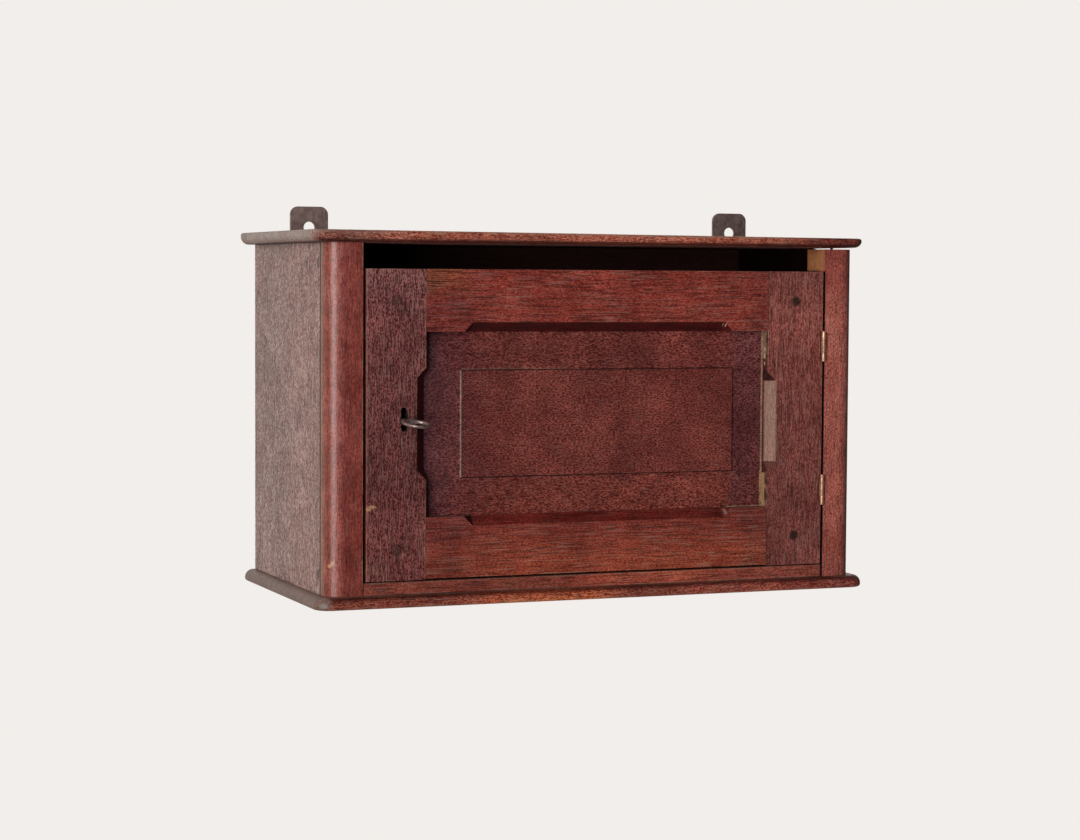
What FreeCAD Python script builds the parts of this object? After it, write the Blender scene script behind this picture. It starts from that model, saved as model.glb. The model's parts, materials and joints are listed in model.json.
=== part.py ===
import FreeCAD, Part
import math
import os
from FreeCAD import Vector

# A small wall cabinet of stained oak: a nailed case with corner posts, an inset framed door on two
# brass butts, a rim lock with its key, and two iron plates to hang it by. Millimetres.
# X runs to the right, Y towards the wall and Z up. The origin is on the wall plane, on the centre
# line, half way up the case. Heights below are counted from the underside of the bottom board, and
# every piece is lowered by origin_height when it is written.

# Case
carcass_width = 470.0
carcass_depth = 210.0
carcass_height = 280.0
top_board_thickness = 10.0
top_board_overhang = 7.0
top_board_left_overhang = 12.5
top_board_right_overhang = 7.5
bottom_board_thickness = 10.0
bottom_board_overhang = 7.5
bottom_board_left_overhang = 9.0
bottom_board_right_overhang = 10.0
board_corner_radius = 14.0
board_edge_round = 7.0
post_depth = 31.5
left_post_width = 30.5
right_post_width = 29.5
post_round = 14.0
post_side_reveal = 14.0
side_panel_thickness = 12.0
back_board_thickness = 10.0
back_rabbet_width = 6.0
lower_back_board_height = 126.0
bottom_rail_height = 10.0
bottom_rail_tenon_length = 8.0
bottom_rail_tenon_thickness = 6.0
bottom_rail_tenon_shoulder = 2.0
door_stop_length = 160.0
door_stop_thickness = 8.0
door_stop_lap = 8.0

# Door
lost_rail_height = 20.5
door_thickness = 20.0
lock_stile_width = 50.0
hinge_stile_width = 52.0
rail_width = 50.0
door_gap_lock_side = 3.0
door_gap_hinge_side = 1.0
door_gap_bottom = 1.0
bottom_rail_short = 0.8
chamfer_size = 8.0
rail_chamfer_margin = 32.0
stile_chamfer_low_margin = 30.0
lock_stile_chamfer_high_margin = 28.5
hinge_stile_chamfer_high_margin = 34.0
chamfer_stop_run = 8.0
panel_setback = 10.0
panel_tongue_thickness = 5.0
panel_field_setback = 4.0
panel_field_step = 1.0
panel_field_margin = 31.0
groove_depth = 8.0
tenon_length = 38.0
tenon_edge_setback = 10.0
peg_diameter = 7.0
peg_proud = 0.3
peg_sides = 8

# Hinges
hinge_height = 25.4
hinge_inset = 63.3
hinge_middle_knuckle = 10.0
hinge_knuckle_radius = 1.8
hinge_axis_proud = 0.6
hinge_relief = 1.4
hinge_pin_radius = 1.0
hinge_leaf_width = 14.0
hinge_leaf_thickness = 1.2
hinge_screw_spread = 15.0
hinge_screw_from_front = 7.7

# Lock and key
lock_backset = 31.0
lock_axis_rise = 2.75
lock_from_opening = 1.0
lock_case_depth = 10.0
lock_case_above_axis = 28.0
lock_case_below_axis = 22.0
lock_sheet = 1.2
lock_ear = 8.0
keyhole_above_axis = 11.5
keyhole_below_axis = 7.6
keyhole_slot_width = 4.6
keyhole_eye_radius = 3.3
bolt_height = 12.0
bolt_thickness = 4.0
bolt_throw = 9.0
bolt_above_axis = 7.0
bolt_tail = 14.5
talon_depth = 4.5
guide_stud_radius = 1.5
guide_stud_from_edge = 13.5
drill_pin_radius = 1.5
drill_pin_reach = 2.0
spring_thickness = 0.6
spring_foot = 6.0
spring_length = 32.0
spring_bow = 0.3
key_shank_radius = 2.6
key_bore_depth = 14.0
key_bit_reach = 10.0
key_bit_thickness = 2.4
key_ward_width = 1.2
key_bow_distance = 33.0
key_bow_radius = 10.2
key_bow_wire_radius = 1.7
key_collar_radius = 3.7
key_collar_length = 3.0
key_collar_bevel = 1.0
key_bow_sides = 8

# Hanging plates
hanger_left_inset = 48.0
hanger_right_inset = 18.0
hanger_width = 34.0
hanger_rise = 23.5
hanger_drop = 48.0
hanger_thickness = 2.0
hanger_top_corner = 7.0
hanger_foot_corner = 3.0
hanger_hole_radius = 5.0
hanger_hole_rise = 5.4
hanger_lower_screw_inset = 10.0

# Fasteners
screw_head_radius = 3.4
screw_shank_radius = 1.5
screw_head_depth = 1.7
screw_sides = 10
hanger_screw_length = 9.0
lock_screw_head_radius = 2.7
lock_screw_length = 12.0
hinge_screw_head_radius = 2.2
hinge_screw_shank_radius = 1.0
hinge_screw_head_depth = 1.0
hinge_screw_length = 10.0
brad_thickness = 1.3
brad_width = 3.4
board_nail_length = 24.0
side_nail_length = 20.0
back_nail_length = 22.0
stop_nail_length = 16.0
side_nail_from_joint = 7.0
side_nail_inset = 16.0

# Clearances
fit_gap = 0.1
loose_gap = 0.3
pin_gap = 0.05
back_joint_gap = 0.6
panel_play = 2.0
mortise_gap = 1.0
talon_gap = 0.6
strike_gap = 2.2
hinge_leaf_gap = 0.2
hinge_swing_gap = 0.3

# Levels and planes that several pieces share
front = -carcass_depth
half_width = carcass_width / 2
case_low = bottom_board_thickness
case_high = case_low + carcass_height
top_level = case_high + top_board_thickness
origin_height = top_level / 2
post_widths = {-1: left_post_width, 1: right_post_width}
left_post_inner = left_post_width - half_width
right_post_inner = half_width - right_post_width
post_back = front + post_depth
side_front = front + post_side_reveal
side_inner = half_width - side_panel_thickness
back_edge = side_inner + back_rabbet_width
back_joint = case_low + lower_back_board_height
rail_top = case_low + bottom_rail_height
door_left = left_post_inner + door_gap_lock_side
door_right = right_post_inner - door_gap_hinge_side
door_low = rail_top + door_gap_bottom
door_high = case_high - lost_rail_height
door_back = front + door_thickness
door_stop_back = door_back + door_stop_thickness
opening_left = door_left + lock_stile_width
opening_right = door_right - hinge_stile_width
opening_low = door_low + rail_width
opening_high = door_high - rail_width
groove_front = front + panel_setback - fit_gap
groove_back = front + panel_setback + panel_tongue_thickness + fit_gap
hinge_axis_x = (door_right + right_post_inner) / 2
hinge_axis_y = front - hinge_axis_proud
hinge_plate_front = hinge_axis_y + hinge_knuckle_radius + hinge_swing_gap
hinge_centres = {"upper": door_high - hinge_inset, "lower": door_low + hinge_inset}
lock_axis_x = door_left + lock_backset
lock_axis_z = (door_low + door_high) / 2 + lock_axis_rise
plate_back = door_back + lock_sheet
case_back = door_back + lock_case_depth
lock_inner_back = case_back - lock_sheet
lock_low = lock_axis_z - lock_case_below_axis
lock_high = lock_axis_z + lock_case_above_axis
lock_right = opening_left - lock_from_opening
bolt_front = plate_back + 2 * loose_gap
bolt_back = bolt_front + bolt_thickness
bolt_low = lock_axis_z + bolt_above_axis
bolt_high = bolt_low + bolt_height
guide_stud_x = door_left + guide_stud_from_edge
guide_stud_z = (bolt_low + talon_depth + bolt_high) / 2
hanger_centres = {"left": hanger_left_inset - half_width, "right": half_width - hanger_right_inset}
hanger_top = top_level + hanger_rise
hanger_foot = case_high - hanger_drop + top_board_thickness
hanger_hole_z = top_level + hanger_hole_rise
hanger_screw_heights = (top_level - top_board_thickness / 2, hanger_foot + hanger_lower_screw_inset)


# Directions
RIGHT = Vector(1, 0, 0)
TO_WALL = Vector(0, 1, 0)
UP = Vector(0, 0, 1)


# Shape helpers

def block(x0, x1, y0, y1, z0, z1):
    """A box between two corners, given in any order."""
    low = Vector(min(x0, x1), min(y0, y1), min(z0, z1))
    return Part.makeBox(abs(x1 - x0), abs(y1 - y0), abs(z1 - z0), low)


def rod(radius, start, end):
    """A round bar from one point to another."""
    axis = end - start
    return Part.makeCylinder(radius, axis.Length, start, axis)


def prism(edges, direction):
    """A closed outline of edges pushed along a direction."""
    return Part.Face(Part.Wire(edges)).extrude(direction)


def polygon(points):
    """The edges of a closed outline with straight sides."""
    return [Part.LineSegment(a, b).toShape() for a, b in zip(points, points[1:] + points[:1])]


def frustum(low, high):
    """A flat-sided solid between two like outlines of points."""
    following = list(range(1, len(low))) + [0]
    outlines = [low, high] + [[low[i], low[j], high[j], high[i]] for i, j in enumerate(following)]
    return enclosed(outlines)


def enclosed(outlines):
    """The solid inside flat faces, each an outline of points."""
    faces = [Part.Face(Part.Wire(polygon(points))) for points in outlines]
    solid = Part.makeSolid(Part.makeShell(faces))
    solid.fix(1e-6, 1e-6, 1e-6)
    return solid if solid.Volume > 0 else solid.reversed()


def ring_of_points(centre, axis, radius, sides):
    """Evenly spaced points on a circle round an axis."""
    across = axis.cross(UP) if abs(axis.z) < 0.5 else Vector(1, 0, 0)
    beside = axis.cross(across)
    turns = [2 * math.pi * (i + 0.5) / sides for i in range(sides)]
    return [centre + across * (radius * math.cos(a)) + beside * (radius * math.sin(a)) for a in turns]


def joined(shapes):
    """Several touching shapes as one clean solid."""
    return shapes[0].multiFuse(shapes[1:]).removeSplitter()


def without(shape, tools):
    """A shape with every tool cut away."""
    return shape.cut(Part.makeCompound(tools)) if tools else shape


def rounded_plate(x0, x1, z0, z1, low_radius, high_radius, y0, y1):
    """An upright plate whose lower and upper corners are rounded differently."""
    plate = block(x0, x1, y0, y1, z0, z1)
    for level, radius in ((z0, low_radius), (z1, high_radius)):
        corners = [e for e in plate.Edges if all(abs(v.Z - level) < 1e-6 for v in e.Vertexes)
                   and abs(e.Vertexes[0].Y - e.Vertexes[1].Y) > 1e-6]
        plate = plate.makeFillet(radius, corners)
    return plate


def upright_slot(x, z0, z1, width, y0, y1):
    """A vertical slot with round ends, running along Y."""
    r = width / 2
    along = Vector(0, y1 - y0, 0)
    ends = [rod(r, Vector(x, y0, z), Vector(x, y0, z) + along) for z in (z0 + r, z1 - r)]
    return joined([block(x - r, x + r, y0, y1, z0 + r, z1 - r)] + ends)


def screw(head, inward, head_radius, shank_radius, head_depth, length):
    """A countersunk wood screw: head is the centre of its flat top, inward the way it is driven."""
    top = ring_of_points(head, inward, head_radius, screw_sides)
    neck = ring_of_points(head + inward * head_depth, inward, shank_radius, screw_sides)
    end = ring_of_points(head + inward * length, inward, shank_radius, screw_sides)
    return joined([frustum(top, neck), frustum(neck, end)])


def screw_hole(head, inward, head_radius, shank_radius, head_depth, length):
    """The hole that a screw sits in, a fit larger all round."""
    return screw(head, inward, head_radius + fit_gap, shank_radius + fit_gap, head_depth, length + loose_gap)


def brad(head, inward, length, width_along, gap=0.0):
    """A cut brad: a flat bar driven from its head, wide along one axis. gap makes its hole."""
    across = inward.cross(width_along)
    half = width_along * (brad_width / 2 + gap) + across * (brad_thickness / 2 + gap)
    tip = head + inward * (length + gap)
    a = head - half
    b = tip + half
    return block(a.x, b.x, a.y, b.y, a.z, b.z)


# Nails, screws and what they go through

def case_nail_places(level):
    """Where the top and bottom boards are nailed: each post and two places along each side."""
    places = []
    side_run = -side_front
    for side in (-1, 1):
        places.append(Vector(side * (half_width - post_widths[side] / 2), front + post_depth / 2, level))
        for share in (1 / 3, 2 / 3):
            x = side * (half_width - side_panel_thickness / 2)
            places.append(Vector(x, -side_run * share, level))
    return places


nails = {
    "top_board_nails": [(p, -UP, board_nail_length, TO_WALL) for p in case_nail_places(top_level)],
    "bottom_board_nails": [(p, UP, board_nail_length, TO_WALL) for p in case_nail_places(0.0)],
    "side_panel_nails": [
        (Vector(side * half_width, side_front + side_nail_from_joint, z), -side * RIGHT,
         side_nail_length, UP)
        for side in (-1, 1) for z in (case_low + side_nail_inset, case_high - side_nail_inset)
    ],
    "back_board_nails": [
        (Vector(side * (side_inner + back_rabbet_width / 2), 0, z), -TO_WALL, back_nail_length, UP)
        for side in (-1, 1)
        for low, high in ((case_low, back_joint), (back_joint, hanger_foot))
        for z in (low + (high - low) / 4, high - (high - low) / 4)
    ],
    "door_stop_nails": [
        (Vector(side * door_stop_length / 4, door_stop_back, case_low + bottom_rail_height / 2),
         -TO_WALL, stop_nail_length, RIGHT)
        for side in (-1, 1)
    ],
}
nail_holes = [brad(*nail, gap=pin_gap) for group in nails.values() for nail in group]

hanger_screws = [
    (Vector(x, 0, z), -TO_WALL, screw_head_radius, screw_shank_radius, screw_head_depth, hanger_screw_length)
    for x in hanger_centres.values() for z in hanger_screw_heights
]
lock_screws = [
    (Vector(x, plate_back, z), -TO_WALL, lock_screw_head_radius, screw_shank_radius,
     lock_sheet - fit_gap, lock_screw_length)
    for x in (door_left + lock_ear, lock_right - lock_ear)
    for z in (lock_low - lock_ear / 2, lock_high + lock_ear / 2)
]


def hinge_screws(leaf_face, inward):
    """The two screws of each leaf, from the leaf's open face into the wood."""
    y = front + hinge_screw_from_front
    return [
        (Vector(leaf_face, y, centre + side * hinge_screw_spread / 2), inward, hinge_screw_head_radius,
         hinge_screw_shank_radius, hinge_screw_head_depth, hinge_screw_length)
        for centre in hinge_centres.values() for side in (-1, 1)
    ]


door_leaf_face = hinge_axis_x - hinge_leaf_gap / 2
post_leaf_face = hinge_axis_x + hinge_leaf_gap / 2
hinge_door_screws = hinge_screws(door_leaf_face, -RIGHT)
hinge_post_screws = hinge_screws(post_leaf_face, RIGHT)


def drilled(shape, screws):
    """A shape with the holes of the screws that reach it."""
    return without(shape, [screw_hole(*s) for s in screws])


def nailed(shape):
    """A shape with the holes of every nail that crosses it."""
    return without(shape, [h for h in nail_holes if h.BoundBox.intersect(shape.BoundBox)])


# Case pieces

def moulded_board(low, thickness, overhangs, round_level):
    """A board with rounded front corners and a quarter round along its left, front and right edges.

    overhangs are how far it stands out from the case on the left, in front and on the right.
    """
    left = -half_width - overhangs[0]
    lip = front - overhangs[1]
    right = half_width + overhangs[2]
    r = board_corner_radius
    bend = r * (1 - math.sqrt(0.5))
    edges = [
        Part.LineSegment(Vector(right, 0, low), Vector(left, 0, low)).toShape(),
        Part.LineSegment(Vector(left, 0, low), Vector(left, lip + r, low)).toShape(),
        Part.Arc(Vector(left, lip + r, low), Vector(left + bend, lip + bend, low),
                 Vector(left + r, lip, low)).toShape(),
        Part.LineSegment(Vector(left + r, lip, low), Vector(right - r, lip, low)).toShape(),
        Part.Arc(Vector(right - r, lip, low), Vector(right - bend, lip + bend, low),
                 Vector(right, lip + r, low)).toShape(),
        Part.LineSegment(Vector(right, lip + r, low), Vector(right, 0, low)).toShape(),
    ]
    board = prism(edges, UP * thickness)
    rim = [e for e in board.Edges if all(abs(v.Z - round_level) < 1e-6 for v in e.Vertexes)
           and not all(abs(v.Y) < 1e-6 for v in e.Vertexes)]
    return board.makeFillet(min(board_edge_round, thickness * 0.9, r * 0.9), rim)


def hanger_recesses():
    """The shallow seats that the hanging plates are let into."""
    return [
        rounded_plate(x - hanger_width / 2 - fit_gap, x + hanger_width / 2 + fit_gap,
                      hanger_foot - fit_gap, hanger_top, hanger_foot_corner, hanger_top_corner,
                      -hanger_thickness - fit_gap / 2, fit_gap)
        for x in hanger_centres.values()
    ]


def top_board():
    overhangs = (top_board_left_overhang, top_board_overhang, top_board_right_overhang)
    board = moulded_board(case_high, top_board_thickness, overhangs, case_high)
    return drilled(nailed(without(board, hanger_recesses())), hanger_screws)


def bottom_board():
    overhangs = (bottom_board_left_overhang, bottom_board_overhang, bottom_board_right_overhang)
    return nailed(moulded_board(0.0, bottom_board_thickness, overhangs, bottom_board_thickness))


def corner_post(side):
    """A square post, rounded in front outside and rabbeted behind outside for the side panel."""
    outer = side * half_width
    inner = left_post_inner if side < 0 else right_post_inner
    shoulder = side * side_inner
    r = min(post_round, post_side_reveal, post_widths[side]) * 0.999
    bend = r * (1 - math.sqrt(0.5))
    arc_start = Vector(outer - side * r, front, case_low)
    arc_end = Vector(outer, front + r, case_low)
    arc_middle = Vector(outer - side * bend, front + bend, case_low)
    plan = ((outer, side_front), (shoulder, side_front), (shoulder, post_back),
            (inner, post_back), (inner, front))
    corners = [arc_end] + [Vector(x, y, case_low) for x, y in plan] + [arc_start]
    edges = [Part.LineSegment(a, b).toShape() for a, b in zip(corners, corners[1:])]
    edges.append(Part.Arc(arc_start, arc_middle, arc_end).toShape())
    post = prism(edges, UP * carcass_height)
    return nailed(without(post, [rail_tenon(side, fit_gap)]))


def rail_tenon(side, gap=0.0):
    """The stub tenon of the bottom rail in one post. gap makes its mortise."""
    y = (front + door_back) / 2
    half = bottom_rail_tenon_thickness / 2 + gap
    shoulder = left_post_inner if side < 0 else right_post_inner
    end = shoulder + side * (bottom_rail_tenon_length + gap * mortise_gap / fit_gap)
    top = rail_top - bottom_rail_tenon_shoulder + gap
    return block(shoulder, end, y - half, y + half, case_low, top)


def strike_mortise():
    """The pocket in the left post that the lock bolt enters."""
    depth = bolt_throw - door_gap_lock_side + strike_gap * 2
    return block(left_post_inner, left_post_inner - depth, bolt_front - strike_gap, bolt_back + strike_gap,
                 bolt_low - strike_gap, bolt_high + strike_gap)


def left_corner_post():
    return without(corner_post(-1), [strike_mortise()])


def right_corner_post():
    post = without(corner_post(1), [hinge_recess(1, centre) for centre in hinge_centres.values()])
    return drilled(post, hinge_post_screws)


def side_panel(side):
    """A plain board, rabbeted along its back edge for the back boards."""
    panel = block(side * side_inner, side * half_width, side_front, 0, case_low, case_high)
    rabbet = block(side * side_inner, side * back_edge, -back_board_thickness, 0, case_low, case_high)
    return drilled(nailed(without(panel, [rabbet] + hanger_recesses())), hanger_screws)


def back_board(low, high):
    x = back_edge - fit_gap
    board = block(-x, x, -back_board_thickness, 0, low, high)
    return drilled(nailed(without(board, hanger_recesses())), hanger_screws)


def front_bottom_rail():
    rail = block(left_post_inner, right_post_inner, front, door_back, case_low, rail_top)
    return nailed(joined([rail, rail_tenon(-1), rail_tenon(1)]))


def door_stop():
    strip = block(-door_stop_length / 2, door_stop_length / 2, door_back + fit_gap, door_stop_back,
                  case_low, rail_top + door_gap_bottom + door_stop_lap)
    return nailed(strip)


def hanger_plate(x):
    """An iron plate with rounded shoulders, one hanging hole and two screw holes."""
    plate = rounded_plate(x - hanger_width / 2, x + hanger_width / 2, hanger_foot, hanger_top,
                          hanger_foot_corner, hanger_top_corner, -hanger_thickness, 0)
    through = Vector(x, -hanger_thickness, hanger_hole_z)
    hole = rod(hanger_hole_radius, through - TO_WALL, through + TO_WALL * (hanger_thickness + 1))
    return drilled(without(plate, [hole]), hanger_screws)


# Door pieces

def stopped_chamfer(start, end, away, start_margin, end_margin):
    """The wedge cut from a front arris of the door opening, with sloping stops at both ends.

    start and end are the corners of the opening, away points from the opening into the frame member.
    """
    along = (end - start).normalize()
    tip_a = start + along * start_margin
    tip_b = end - along * end_margin
    full_a = tip_a + along * chamfer_stop_run
    full_b = tip_b - along * chamfer_stop_run
    face_a = full_a + away * chamfer_size
    face_b = full_b + away * chamfer_size
    deep_a = full_a + TO_WALL * chamfer_size
    deep_b = full_b + TO_WALL * chamfer_size
    outlines = (
        [tip_a, tip_b, face_b, face_a],
        [tip_a, tip_b, deep_b, deep_a],
        [face_a, face_b, deep_b, deep_a],
        [tip_a, face_a, deep_a],
        [tip_b, face_b, deep_b],
    )
    return enclosed(outlines)


corner = {
    "low_left": Vector(opening_left, front, opening_low),
    "low_right": Vector(opening_right, front, opening_low),
    "high_left": Vector(opening_left, front, opening_high),
    "high_right": Vector(opening_right, front, opening_high),
}


def rail_tenon_box(side, high, gap=0.0):
    """One tenon of a door rail. side is -1 on the left stile, high tells the top rail. gap: its mortise."""
    shoulder = opening_left if side < 0 else opening_right
    end = shoulder + side * (tenon_length + gap * mortise_gap / fit_gap)
    if high:
        z0, z1 = opening_high + groove_depth, door_high - tenon_edge_setback
    else:
        z0, z1 = door_low + tenon_edge_setback, opening_low - groove_depth
    return block(shoulder, end, groove_front + fit_gap - gap, groove_back - fit_gap + gap, z0 - gap, z1 + gap)


peg_centres = [
    Vector(x, front, z)
    for x in (door_left + lock_stile_width / 2, door_right - hinge_stile_width / 2)
    for z in (door_low + rail_width / 2, door_high - rail_width / 2)
]


def peg(centre, radius, proud):
    """A riven peg, eight-sided, through a joint of the door."""
    head = ring_of_points(centre - TO_WALL * proud, TO_WALL, radius, peg_sides)
    return frustum(head, [p + TO_WALL * (door_thickness + proud) for p in head])


def pegged(shape):
    """A shape bored for the draw pegs."""
    holes = [peg(c, peg_diameter / 2 + pin_gap, door_thickness) for c in peg_centres]
    return without(shape, [h for h in holes if h.BoundBox.intersect(shape.BoundBox)])


def stile(side):
    """An upright of the door: grooved and mortised on its inner edge, with a stopped chamfer."""
    edge = door_left if side < 0 else door_right
    inner = opening_left if side < 0 else opening_right
    name = "left" if side < 0 else "right"
    upright = block(edge, inner, front, door_back, door_low, door_high)
    groove = block(inner, inner + side * groove_depth, groove_front, groove_back,
                   opening_low - groove_depth, opening_high + groove_depth)
    high_margin = lock_stile_chamfer_high_margin if side < 0 else hinge_stile_chamfer_high_margin
    chamfer = stopped_chamfer(corner["low_" + name], corner["high_" + name], side * RIGHT,
                              stile_chamfer_low_margin, high_margin)
    mortises = [rail_tenon_box(side, high, fit_gap) for high in (False, True)]
    return pegged(without(upright, [groove, chamfer] + mortises))


def keyhole(y0, y1):
    """The slot that the key's bit passes, with a round eye for its shank."""
    slot = upright_slot(lock_axis_x, lock_axis_z - keyhole_below_axis, lock_axis_z + keyhole_above_axis,
                        keyhole_slot_width, y0, y1)
    eye = rod(keyhole_eye_radius, Vector(lock_axis_x, y0, lock_axis_z), Vector(lock_axis_x, y1, lock_axis_z))
    return joined([slot, eye])


def left_stile():
    return drilled(without(stile(-1), [keyhole(front - 1, door_back + 1)]), lock_screws)


def right_stile():
    recesses = [hinge_recess(-1, centre) for centre in hinge_centres.values()]
    return drilled(without(stile(1), recesses), hinge_door_screws)


def door_rail(high):
    """A cross member of the door with a tenon at each end, a groove and a stopped chamfer."""
    z0, z1 = (opening_high, door_high) if high else (door_low + bottom_rail_short, opening_low)
    edge = opening_high if high else opening_low
    up = 1 if high else -1
    name = "high" if high else "low"
    body = block(opening_left, opening_right, front, door_back, z0, z1)
    rail = joined([body, rail_tenon_box(-1, high), rail_tenon_box(1, high)])
    groove = block(opening_left, opening_right, groove_front, groove_back, edge, edge + up * groove_depth)
    chamfer = stopped_chamfer(corner[name + "_left"], corner[name + "_right"], up * UP,
                              rail_chamfer_margin, rail_chamfer_margin)
    return pegged(without(rail, [groove, chamfer]))


def rectangle(x0, x1, z0, z1, y):
    """The corners of an upright rectangle."""
    return [Vector(x0, y, z0), Vector(x1, y, z0), Vector(x1, y, z1), Vector(x0, y, z1)]


def door_panel():
    """A raised panel: a field with a small step, a bevelled border and a tongue all round."""
    tongue_front = front + panel_setback
    panel_back = tongue_front + panel_tongue_thickness
    reach = groove_depth - panel_play
    tongue = block(opening_left - reach, opening_right + reach, tongue_front, panel_back,
                   opening_low - reach, opening_high + reach)
    step_y = front + panel_field_setback + panel_field_step
    field = (opening_left + panel_field_margin, opening_right - panel_field_margin,
             opening_low + panel_field_margin, opening_high - panel_field_margin)
    bevel = frustum(rectangle(opening_left, opening_right, opening_low, opening_high, tongue_front),
                    rectangle(*field, step_y))
    raised = block(field[0], field[1], step_y, front + panel_field_setback, field[2], field[3])
    return joined([tongue, bevel, raised])


# Hinges

def hinge_recess(side, centre):
    """The seat of one leaf: side -1 in the door's edge, 1 in the post."""
    face = door_leaf_face if side < 0 else post_leaf_face
    wood = door_right if side < 0 else right_post_inner
    depth = face + side * hinge_leaf_thickness
    half = hinge_height / 2 + fit_gap
    seat = block(wood - side * fit_gap, depth, front - 1, front + hinge_leaf_width + fit_gap,
                 centre - half, centre + half)
    axis = Vector(hinge_axis_x, hinge_axis_y, centre)
    scoop = rod(hinge_knuckle_radius + hinge_relief, axis - UP * half, axis + UP * half)
    return joined([seat, scoop])


def hinge_leaf(side, centre, screws):
    """One leaf of a butt: side -1 is the door's, with the outer knuckles, 1 the post's, with the middle."""
    face = door_leaf_face if side < 0 else post_leaf_face
    outside = face + side * hinge_leaf_thickness
    low = centre - hinge_height / 2
    high = centre + hinge_height / 2
    middle_low = centre - hinge_middle_knuckle / 2
    middle_high = centre + hinge_middle_knuckle / 2
    gap = hinge_leaf_gap
    spans = [(low, middle_low - gap), (middle_high + gap, high)] if side < 0 else [(middle_low, middle_high)]
    pieces = [block(face, outside, hinge_plate_front, front + hinge_leaf_width, low, high)]
    holes = []
    for z0, z1 in spans:
        pieces.append(block(face, outside, hinge_axis_y, hinge_plate_front, z0, z1))
        start = Vector(hinge_axis_x, hinge_axis_y, z0)
        end = Vector(hinge_axis_x, hinge_axis_y, z1)
        pieces.append(rod(hinge_knuckle_radius, start, end))
        running = pin_gap if side > 0 else pin_gap / 2
        holes.append(rod(hinge_pin_radius + running, start - UP, end + UP))
    return drilled(without(joined(pieces), holes), screws)


def hinge_pin(centre):
    start = Vector(hinge_axis_x, hinge_axis_y, centre - hinge_height / 2)
    return rod(hinge_pin_radius, start, start + UP * hinge_height)


# Lock

def lock_plate():
    """The flat plate against the stile, with ears for its screws."""
    plate = block(door_left, lock_right, door_back, plate_back, lock_low - lock_ear, lock_high + lock_ear)
    return drilled(without(plate, [keyhole(door_back - 1, plate_back + 1)]), lock_screws)


def lock_case():
    """The folded case over the works, open towards the plate, with the bolt's way out on its edge."""
    shell = block(door_left, lock_right, plate_back, case_back, lock_low, lock_high)
    hollow = block(door_left + lock_sheet, lock_right - lock_sheet, plate_back, lock_inner_back,
                   lock_low + lock_sheet, lock_high - lock_sheet)
    way_out = block(door_left, door_left + lock_sheet, bolt_front - loose_gap, bolt_back + loose_gap,
                    bolt_low - loose_gap, bolt_high + loose_gap)
    return without(shell, [hollow, way_out])


def lock_drill_pin():
    """The fixed pin that the bored key slides over."""
    return rod(drill_pin_radius, Vector(lock_axis_x, lock_inner_back, lock_axis_z),
               Vector(lock_axis_x, door_back - drill_pin_reach, lock_axis_z))


def lock_guide_stud():
    """The stud in the bolt's slot, between case and plate."""
    return rod(guide_stud_radius, Vector(guide_stud_x, lock_inner_back, guide_stud_z),
               Vector(guide_stud_x, plate_back, guide_stud_z))


def talon_span():
    """The bolt's notch, wide enough for the bit at every turn while the bolt follows the key evenly."""
    entry = math.asin((bolt_above_axis - talon_gap) / key_bit_reach)
    reach = key_bit_reach * math.cos(entry)
    side = key_bit_thickness / 2 * math.sin(entry) + talon_gap
    right = reach + bolt_throw * entry / math.pi + side
    left = -reach + bolt_throw * (math.pi - entry) / math.pi - side
    return lock_axis_x + left, lock_axis_x + right


def lock_bolt():
    """A flat bolt with its talon notch below and a guide slot."""
    tail = lock_axis_x + bolt_tail
    bar = block(door_left, tail, bolt_front, bolt_back, bolt_low, bolt_high)
    left, right = talon_span()
    talon = block(left, right, bolt_front, bolt_back, bolt_low, bolt_low + talon_depth)
    r = guide_stud_radius + fit_gap
    slot_end = guide_stud_x + bolt_throw
    slot = block(guide_stud_x, slot_end, bolt_front, bolt_back, guide_stud_z - r, guide_stud_z + r)
    rounds = [rod(r, Vector(x, bolt_front, guide_stud_z), Vector(x, bolt_back, guide_stud_z))
              for x in (guide_stud_x, slot_end)]
    return without(bar, [talon, slot] + rounds)


def bolt_spring():
    """A leaf spring on the bolt's back edge, bowed up against the top of the case."""
    foot_right = lock_axis_x + bolt_tail
    foot_left = foot_right - spring_foot
    tip = foot_right - spring_length
    tip_top = lock_high - lock_sheet - loose_gap
    rise = tip_top - spring_thickness - bolt_high
    bow_x = (foot_left + tip) / 2
    y = bolt_front + loose_gap
    lower = [Vector(foot_right, y, bolt_high), Vector(foot_left, y, bolt_high),
             Vector(bow_x, y, bolt_high + rise * spring_bow), Vector(tip, y, bolt_high + rise)]
    upper = [p + UP * spring_thickness for p in lower]
    edges = [
        Part.LineSegment(lower[0], lower[1]).toShape(),
        Part.Arc(lower[1], lower[2], lower[3]).toShape(),
        Part.LineSegment(lower[3], upper[3]).toShape(),
        Part.Arc(upper[3], upper[2], upper[1]).toShape(),
        Part.LineSegment(upper[1], upper[0]).toShape(),
        Part.LineSegment(upper[0], lower[0]).toShape(),
    ]
    return prism(edges, TO_WALL * (bolt_thickness - 2 * loose_gap))


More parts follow.
